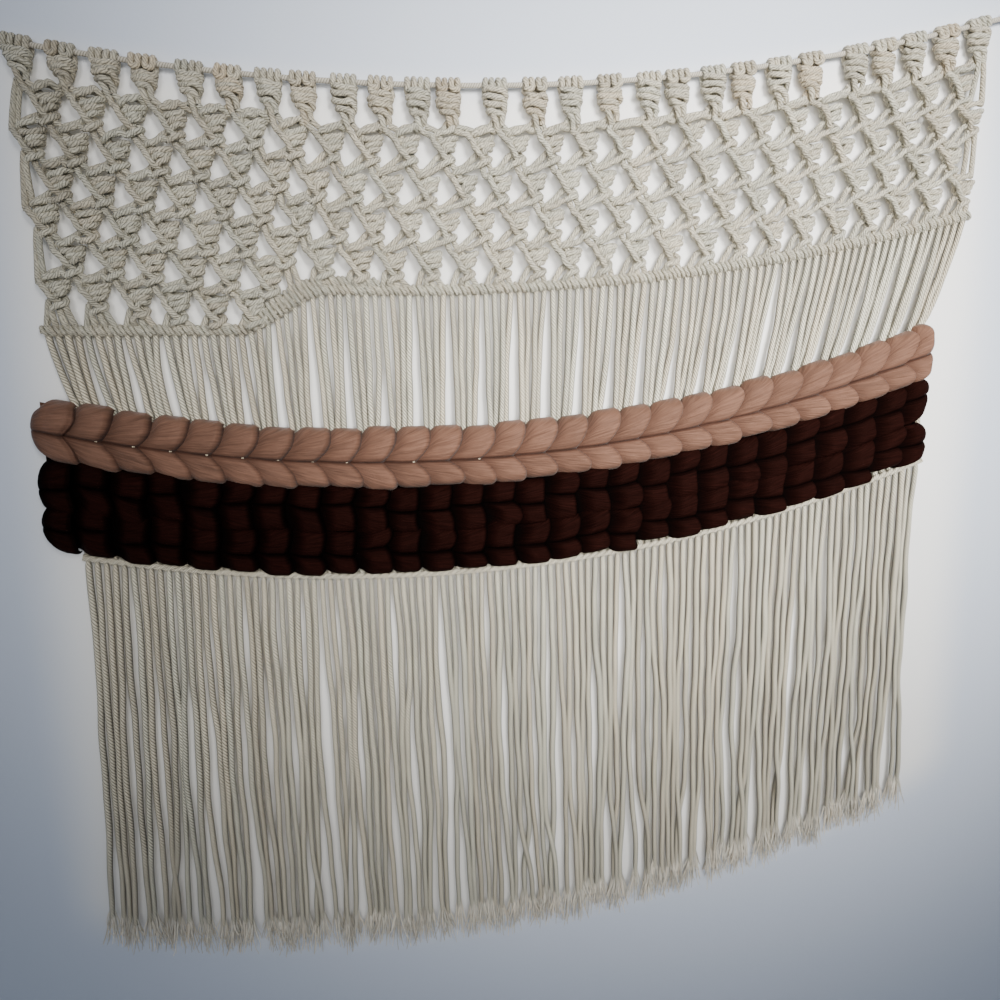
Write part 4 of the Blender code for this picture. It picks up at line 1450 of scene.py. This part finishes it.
    def add_floats(self, surfaces: Surfaces, middle: float, height: float) -> None:
        """Adds the short floats by which the roving passes behind each group of cords."""
        layout, rings, sides = self.layout, self.float_rings, self.float_sides
        rng = np.random.default_rng(self.seed + 7)
        centre = layout.entry_x(np.arange(layout.groups))[:, None, None]
        around = np.linspace(0, math.tau, sides + 1)[None, None, :-1]
        along = np.linspace(-1, 1, rings)[None, :, None]
        thick = np.sqrt(np.clip(1 - (along * 0.96) ** 4, 0, 1))
        x = centre + along * 0.52 * layout.band_pitch
        y = self.float_y + self.float_depth * thick * np.cos(around)
        z = layout.band_z(x, middle) + 0.5 * height * thick * np.sin(around)
        uv = np.empty((len(centre), rings, sides + 1, 2))
        uv[..., 0] = np.arange(rings)[:, None] * 2.2
        uv[..., 1] = np.arange(sides + 1) * 1.3
        surfaces.add_grids(as_points(x, y, z), uv, rng.uniform(0, 1, len(centre)), closed=True)


BROWN_ROW = {"slot": "brown_roving", "kind": Finish.BROWN_WOOL, "front": 10 * MM}
ROVING_ROWS: tuple[dict, ...] = (
    {
        "node": "pink_braid",
        "slot": "pink_roving",
        "name": "pink_wool",
        "kind": Finish.PINK_WOOL,
        "heights": (-181 * MM, -199.3 * MM, -214.5 * MM),
        "front": 11.5 * MM,
        "upper": PINK_LEG,
        "lower": PINK_FOOT,
        "insets": (3.5 * MM, 0.5 * MM),
        "seed": 40,
    },
    BROWN_ROW
    | {
        "node": "brown_braid_upper",
        "name": "brown_wool_upper",
        "heights": (-212.5 * MM, -226.0 * MM, -238.3 * MM),
        "upper": BROWN_UNDER_PINK,
        "lower": BROWN_INNER,
        "insets": (0.0, -0.8 * MM),
        "seed": 50,
    },
    BROWN_ROW
    | {
        "node": "brown_braid_lower",
        "name": "brown_wool_lower",
        "heights": (-238.5 * MM, -250.6 * MM, -262.7 * MM),
        "upper": BROWN_INNER,
        "lower": BROWN_FOOT,
        "insets": (-0.8 * MM, 3.0 * MM),
        "seed": 60,
    },
)


@dataclass
class TwinedLine(Piece):
    """Two thin cords that twine around the fringe's roots under the wool, on its face and on its back."""

    cord_radius: float = 1.1 * MM
    swing: float = 0.85 * MM
    above_root: float = 1.5 * MM
    face_y: float = -2.6 * MM
    back_y: float = 2.9 * MM
    stations: int = 620

    def build(self) -> None:
        """Builds the twined cords."""
        layout = self.layout
        surfaces = Surfaces()
        half = 0.5 * layout.band_pitch * layout.groups
        x = np.linspace(layout.band_shift - half, layout.band_shift + half, self.stations)[None]
        turn = math.tau * x / (2 * layout.fringe_pitch) + np.array([[0.0], [math.pi]])
        z = layout.band_z(x, layout.root_z + self.above_root)
        for y, seed in ((self.face_y, 1), (self.back_y, 2)):
            paths = as_points(x, y + self.swing * np.sin(turn), z + self.swing * np.cos(turn))
            surfaces.add_tubes(paths, self.cord_radius, self.tones(2, seed), sides=7)
        self.finish(surfaces.make("twined_line", Finish.COTTON.material()))


@dataclass(frozen=True)
class Bunching:
    """Where strands hang in bunches: how close, what share of the way they move, and where that begins and ends.

    Where something begins or ends is a pair of shares of the drop. Past 1 it never does.
    """

    touching: float
    share: float
    begins: tuple[float, float]
    ends: tuple[float, float]


@dataclass(frozen=True)
class Loose:
    """What a strand's end comes apart into.

    It has how many there are, their radius where they start, how far from the strand's middle they start and may end,
    their shortest and longest length as shares of the frayed length, and how many sides each has.
    """

    many: int
    radius: float
    reaches: tuple[float, float]
    lengths: tuple[float, float]
    sides: int


@dataclass
class Fringe(Piece):
    """The long strands under the wool and their frayed ends."""

    lay: FringeLay = FringeLay()
    cord_radius: float = 1.74 * MM
    loose_radius: float = 1.82 * MM
    foot_radius: float = 1.56 * MM
    stations: int = 50
    fray: float = 19 * MM
    end_scatter: float = 3 * MM
    strand_y: float = 0.6 * MM
    above_root: float = 0.8 * MM
    widening: tuple[float, float] = (0.0, 0.30)
    narrowing: tuple[float, float] = (0.45, 0.95)
    radius_scatter: float = 0.04
    radius_wave: float = 0.05
    bunch_sizes: tuple[int, ...] = (1, 2, 2, 3, 3, 4)
    bunch_scatter: float = 0.9 * MM
    bunchings: tuple[Bunching, ...] = (
        Bunching(3.85 * MM, 0.55, (0.02, 0.16), (0.22, 0.5)),
        Bunching(3.85 * MM, 0.85, (0.18, 0.5), (0.55, 0.9)),
        Bunching(3.6 * MM, 1.425, (0.6, 0.96), (1.0, 2.0)),
    )
    waves: tuple[tuple[float, float], ...] = ((0.8, 0.5 * MM), (2.1, 0.36 * MM), (5.3, 0.2 * MM))
    crossings: float = 0.14
    crossing_depth: float = 1.5 * MM
    crossing_span: tuple[float, float] = (0.72, 0.95)
    depth_change: float = 0.95 * MM
    loose: tuple[Loose, ...] = (
        Loose(4, 0.60 * MM, (0.7 * MM, 4.2 * MM), (0.45, 0.8), 6),
        Loose(17, 0.36 * MM, (1.0 * MM, 7.0 * MM), (0.55, 1.1), 5),
    )
    loose_sway: float = 1.1 * MM
    loose_wave: float = 0.4 * MM
    loose_start: float = 1.5 * MM
    loose_extra: float = 6 * MM
    seed: int = 23

    def bunched(self, rng: np.random.Generator, touching: float) -> np.ndarray:
        """How far each strand would move sideways to touch the others of its bunch.

        Args:
            rng: Where the bunches' sizes come from.
            touching: How far apart touching strands are.

        Returns:
            A distance for each strand, in a column.
        """
        layout = self.layout
        shift = np.zeros(layout.cords)
        first = 0
        while first < layout.cords:
            many = min(int(rng.choice(self.bunch_sizes)), layout.cords - first)
            place = np.arange(many) - (many - 1) / 2
            lean = rng.normal(0, self.bunch_scatter)
            shift[first : first + many] = place * (touching - layout.fringe_pitch) + lean
            first += many
        return shift[:, None]

    def paths(self) -> np.ndarray:
        """The middle line of every strand, from its root to where it starts to fray."""
        layout = self.layout
        rng = np.random.default_rng(self.seed)
        cord = np.arange(layout.cords)[:, None]
        share = np.linspace(0, 1, self.stations)[None]
        x = self.lay.place(layout, cord, share)
        y = np.full_like(x, self.strand_y)
        root = layout.root_x(cord)
        top = layout.band_z(root, layout.root_z) + self.above_root
        end = layout.fringe_end_z + layout.fringe_end_swag * (root - layout.band_low_x) ** 2
        end = end + rng.uniform(-1, 1, (len(cord), 1)) * self.end_scatter + self.fray
        for bunching in self.bunchings:
            window = smooth_step(share, *bunching.begins) * (1 - smooth_step(share, *bunching.ends))
            x = x + self.bunched(rng, bunching.touching) * bunching.share * window
        for waves, size in self.waves:
            start = rng.uniform(0, math.tau, (len(cord), 1))
            hang = np.minimum(1, share * 3)
            x = x + size * np.sin(math.tau * waves * share + start) * hang
            y = y + size * np.cos(math.tau * waves * share + 1.7 * start) * hang
        depths = np.random.default_rng(self.seed + 5).uniform(-1, 1, (len(cord), 1))
        y = y + depths * self.depth_change * np.minimum(1, share * 8)
        chosen = np.flatnonzero(rng.uniform(0, 1, len(cord) - 1) < self.crossings)
        chosen = chosen[np.append(True, np.diff(chosen) > 1)]  # no strand crosses two others
        change = smooth_step(share, *self.crossing_span) * rng.uniform(0.7, 1.0, (len(chosen), 1))
        gap = (x[chosen + 1] - x[chosen]) * change
        x[chosen] += gap
        x[chosen + 1] -= gap
        over = self.crossing_depth * np.sin(math.pi * change)
        y[chosen] -= over
        y[chosen + 1] += 0.7 * over
        return as_points(x, y, blend(top, end, share))

    def build(self) -> None:
        """Builds the strands, then the plies and fibres that they come apart into."""
        strands = self.paths()
        many = len(strands)
        rng = np.random.default_rng(self.seed + 1)
        surfaces = Surfaces()
        share = np.linspace(0, 1, self.stations)[None]
        radius = blend(self.cord_radius, self.loose_radius, smooth_step(share, *self.widening))
        radius = blend(radius, self.foot_radius, smooth_step(share, *self.narrowing))
        radius = radius * (1 + self.radius_scatter * rng.normal(0, 1, (many, 1)))
        wave = np.sin(share * rng.uniform(9, 17, (many, 1)) + rng.uniform(0, 6, (many, 1)))
        radius = radius * (1 + self.radius_wave * wave)
        radius = radius * blend(1.0, 0.8, smooth_step(share, 0.965, 1.0)) * np.sqrt(np.clip(share * 60 + 0.3, 0, 1))
        surfaces.add_tubes(strands, radius, self.tones(many, 4), start_uv=rng.uniform(0, 0.01, many))
        self.finish(surfaces.make("fringe_strands", Finish.COTTON.material()))
        frays = Surfaces()
        for loose in self.loose:
            self.add_loose(frays, strands[:, -2], loose, rng)
        self.finish(frays.make("frayed_ends", Finish.FRAYED.material()))

    def add_loose(self, surfaces: Surfaces, tips: np.ndarray, loose: Loose, rng: np.random.Generator) -> None:
        """Adds what a strand's end comes apart into.

        Args:
            surfaces: What it is added to.
            tips: Where each strand starts to come apart.
            loose: The plies or fibres.
            rng: Where their unevenness comes from.
        """
        total = len(tips) * loose.many
        base = np.repeat(tips, loose.many, axis=0)
        sway = np.repeat(rng.normal(0, self.loose_sway, (len(tips), 1)), loose.many, axis=0)
        angle = rng.uniform(0, math.tau, (total, 1))
        start = loose.reaches[0] * np.sqrt(rng.uniform(0.2, 1, (total, 1)))
        spread = loose.reaches[1] * rng.uniform(0.1, 1, (total, 1))
        length = (self.fray + self.loose_extra) * rng.uniform(*loose.lengths, (total, 1))
        share = np.linspace(0, 1, 8)[None]
        reach = start + (spread - start) * share**1.2
        curl = angle + rng.normal(0, 0.7, (total, 1)) * share
        wave = self.loose_wave * np.sin(share * rng.uniform(5, 11, (total, 1)) + angle) * share
        x = base[:, 0:1] + reach * np.cos(curl) * 1.1 + wave + sway * share
        y = base[:, 1:2] + reach * np.sin(curl) * 0.55 + wave * 0.5
        fall = length * (share - 0.08 * share**2 * rng.uniform(0, 1, (total, 1)))
        z = base[:, 2:3] + self.loose_start - fall
        thin = np.broadcast_to(loose.radius * (1 - 0.55 * share), x.shape)
        # painted shade: each fibre gets a random brightness, as some lie in the shade of others, and all are darker
        # near their start, where they crowd
        shade = rng.uniform(0.65, 1.2, (total, 1)) * blend(0.72, 1.0, smooth_step(share, 0.0, 0.5))
        surfaces.add_tubes(as_points(x, y, z), thin, rng.uniform(0, 0.9, total), loose.sides, depth=shade)


# The room


@dataclass(frozen=True)
class View:
    """The camera, at the photograph's place."""

    place: Point = (-82.0 * MM, -420 * MM, -155.3 * MM)
    yaw: float = math.radians(7.89)
    pitch: float = math.radians(9.17)
    roll: float = math.radians(-1.03)
    lens: float = 27.0
    sensor: float = 36.0
    nearest: float = 0.01

    def build(self) -> None:
        """Makes the camera and gives it to the scene."""
        level = Vector((math.cos(self.yaw), -math.sin(self.yaw), 0))
        flat = math.cos(self.pitch)
        ahead = Vector((math.sin(self.yaw) * flat, math.cos(self.yaw) * flat, -math.sin(self.pitch)))
        upright = level.cross(ahead)
        right = math.cos(self.roll) * level + math.sin(self.roll) * upright
        up = math.cos(self.roll) * upright - math.sin(self.roll) * level
        camera = bpy.data.cameras.new("camera")
        camera.lens = self.lens
        camera.sensor_width = self.sensor
        camera.clip_start = self.nearest
        placed = bpy.data.objects.new("camera", camera)
        placed.matrix_world = Matrix([*zip(right, up, -ahead, self.place), (0, 0, 0, 1)])
        bpy.context.scene.collection.objects.link(placed)
        bpy.context.scene.camera = placed


@dataclass(frozen=True)
class SoftLight:
    """A lamp with a soft edge: where it is, what it looks at, its radius, its power, its colour and its cone."""

    name: str
    place: Point
    target: Point
    radius: float
    power: float
    color: tuple[float, float, float]
    cone: float

    def build(self) -> None:
        """Makes the light."""
        data = bpy.data.lights.new(self.name, "SPOT")
        data.shadow_soft_size = self.radius
        data.energy = self.power
        data.color = self.color
        data.spot_size = self.cone
        data.spot_blend = 1.0
        made = bpy.data.objects.new(self.name, data)
        made.location = self.place
        made.rotation_euler = (Vector(self.target) - Vector(self.place)).to_track_quat("-Z", "Y").to_euler()
        bpy.context.scene.collection.objects.link(made)


@dataclass(frozen=True)
class Room:
    """A pale wall close behind the hanging, lighter behind it with a painted pool of light, a pale floor well under it,
    and soft light from the upper right.

    The rear light is for views from behind alone. It shines through the wall, whose face it can't reach.
    """

    wall_y: float = 5.4 * MM
    wall_half: float = 1.6
    wall_color: Color = (0.66, 0.715, 0.82, 1)
    wall_roughness: float = 0.85
    grain_scale: float = 420.0
    grain_relief: float = 0.3 * MM
    grain_strength: float = 0.25
    # a painted pool of light: the wall's lighter colour behind the hanging, and where it fades
    painted_light_color: Color = (0.97, 0.96, 0.94, 1)
    painted_light_half: float = 0.27
    painted_light_fade: float = 0.02
    painted_light_top_fade: tuple[float, float] = (0.012, -0.016)
    painted_light_foot_fade: tuple[float, float] = (-0.012, 0.03)
    floor_z: float = -0.95
    floor_reach: float = 3.0
    floor_color: Color = (0.72, 0.72, 0.71, 1)
    floor_roughness: float = 0.9
    sky: Color = (0.62, 0.68, 0.78, 1)
    sky_strength: float = 0.40
    lights: tuple[SoftLight, ...] = (
        SoftLight("key", (0.22, -0.82, 0.06), (0.15, 0, -0.09), 0.16, 70.0, (1.0, 0.985, 0.95), math.radians(53)),
        SoftLight("fill", (-0.12, -0.82, -0.10), (0.07, 0, -0.14), 0.26, 30.0, (1.0, 0.99, 0.97), math.radians(55)),
        SoftLight("rear", (-0.25, 0.95, 0.15), (0, 0, -0.24), 0.30, 12.0, (1.0, 0.99, 0.97), math.radians(60)),
    )

    def build(self) -> None:
        """Builds the wall, the floor, the lights and the sky."""
        half, reach, y, z = self.wall_half, self.floor_reach, self.wall_y, self.floor_z
        wall = [(-half, y, z), (half, y, z), (half, y, half), (-half, y, half)]
        self.add_plane("wall", wall, self.wall_material())
        floor = [(-half, -reach, z), (half, -reach, z), (half, reach, z), (-half, reach, z)]
        self.add_plane("floor", floor, self.floor_material())
        for light in self.lights:
            light.build()
        world = bpy.data.worlds.new("sky")
        world.use_nodes = True
        background = world.node_tree.nodes["Background"]
        background.inputs["Color"].default_value = self.sky
        background.inputs["Strength"].default_value = self.sky_strength
        bpy.context.scene.world = world

    def add_plane(self, name: str, corners: list[Point], material: bpy.types.Material) -> None:
        """Adds a flat face that isn't part of the object."""
        mesh = bpy.data.meshes.new(name)
        mesh.from_pydata(corners, [], [(0, 1, 2, 3)])
        mesh.materials.append(material)
        made = bpy.data.objects.new(name, mesh)
        bpy.context.scene.collection.objects.link(made)

    def floor_material(self) -> bpy.types.Material:
        """A matte pale paint."""
        material, graph, shader = new_material("floor")
        graph.fill(shader, {"Base Color": self.floor_color, "Roughness": self.floor_roughness})
        return material

    def painted_light_share(self, graph: Graph, place: Socket) -> Socket:
        """How far the wall has its painted pool of light: all behind the hanging, and softly less towards its outline.

        Args:
            graph: What the nodes are added to.
            place: Where a point of the wall is.

        Returns:
            A share from 0 to 1, the product of one share for each edge. A curved edge lies at level + swag * away^2.
        """
        x, _, z = graph.split(place)
        layout = Layout()
        top = float(layout.holding_z(layout.holding_low_x))
        shares = []
        for low_x, swag, level, fade in (
            (layout.holding_low_x, layout.holding_swag, top, self.painted_light_top_fade),
            (layout.band_low_x, layout.fringe_end_swag, layout.fringe_end_z, self.painted_light_foot_fade),
        ):
            away = graph.math("SUBTRACT", x, low_x)
            edge = graph.line(graph.times(away, away), swag, level)
            shares.append(graph.soft_step(graph.math("SUBTRACT", z, edge), *fade))
        sides = (self.painted_light_half + self.painted_light_fade, self.painted_light_half - self.painted_light_fade)
        return graph.times(*shares, graph.soft_step(graph.math("ABSOLUTE", x), *sides))

    def wall_material(self) -> bpy.types.Material:
        """Matte paint with a faint grain, and a painted pool of light behind the hanging.

        Returns:
            The material. Its back is clear, and so is all of it to the lamps' rays, for views from behind.
        """
        material, graph, shader = new_material("wall_paint")
        place = graph.coordinates("Object")
        looks = {
            # painted light: the wall is lighter behind the hanging
            "Base Color": graph.mix(self.painted_light_share(graph, place), self.wall_color, self.painted_light_color),
            "Normal": graph.bump(graph.noise(place, self.grain_scale), self.grain_relief, self.grain_strength),
            "Roughness": self.wall_roughness,
        }
        graph.fill(shader, looks)
        behind = graph.node("ShaderNodeNewGeometry").outputs["Backfacing"]
        to_light = graph.node("ShaderNodeLightPath").outputs["Is Shadow Ray"]
        clear = graph.node("ShaderNodeBsdfTransparent").outputs[0]
        either = graph.node("ShaderNodeMixShader")
        for socket, value in zip(either.inputs, (graph.math("MAXIMUM", behind, to_light), shader.outputs[0], clear)):
            graph.feed(socket, value)
        graph.feed(material.node_tree.nodes["Material Output"].inputs["Surface"], either.outputs[0])
        return material


def build_pieces(layout: Layout) -> None:
    """Builds every piece of the hanging."""
    HoldingCord(layout, "holding_cord", "holding_cotton").build()
    for kind in (LarksHeads, SquareKnots, HitchBar, RunningCords):
        kind(layout, "net", "net_cotton").build()
    for row in ROVING_ROWS:
        RovingRow(layout, **row).build()
    for kind in (TwinedLine, Fringe):
        kind(layout, "fringe", "fringe_cotton").build()


def main() -> None:
    """Loads the frame and builds the camera, the room and the hanging."""
    logging.basicConfig(level=logging.INFO, format="%(name)s: %(message)s")
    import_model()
    View().build()
    Room().build()
    build_pieces(Layout())


if __name__ == "__main__":
    main()
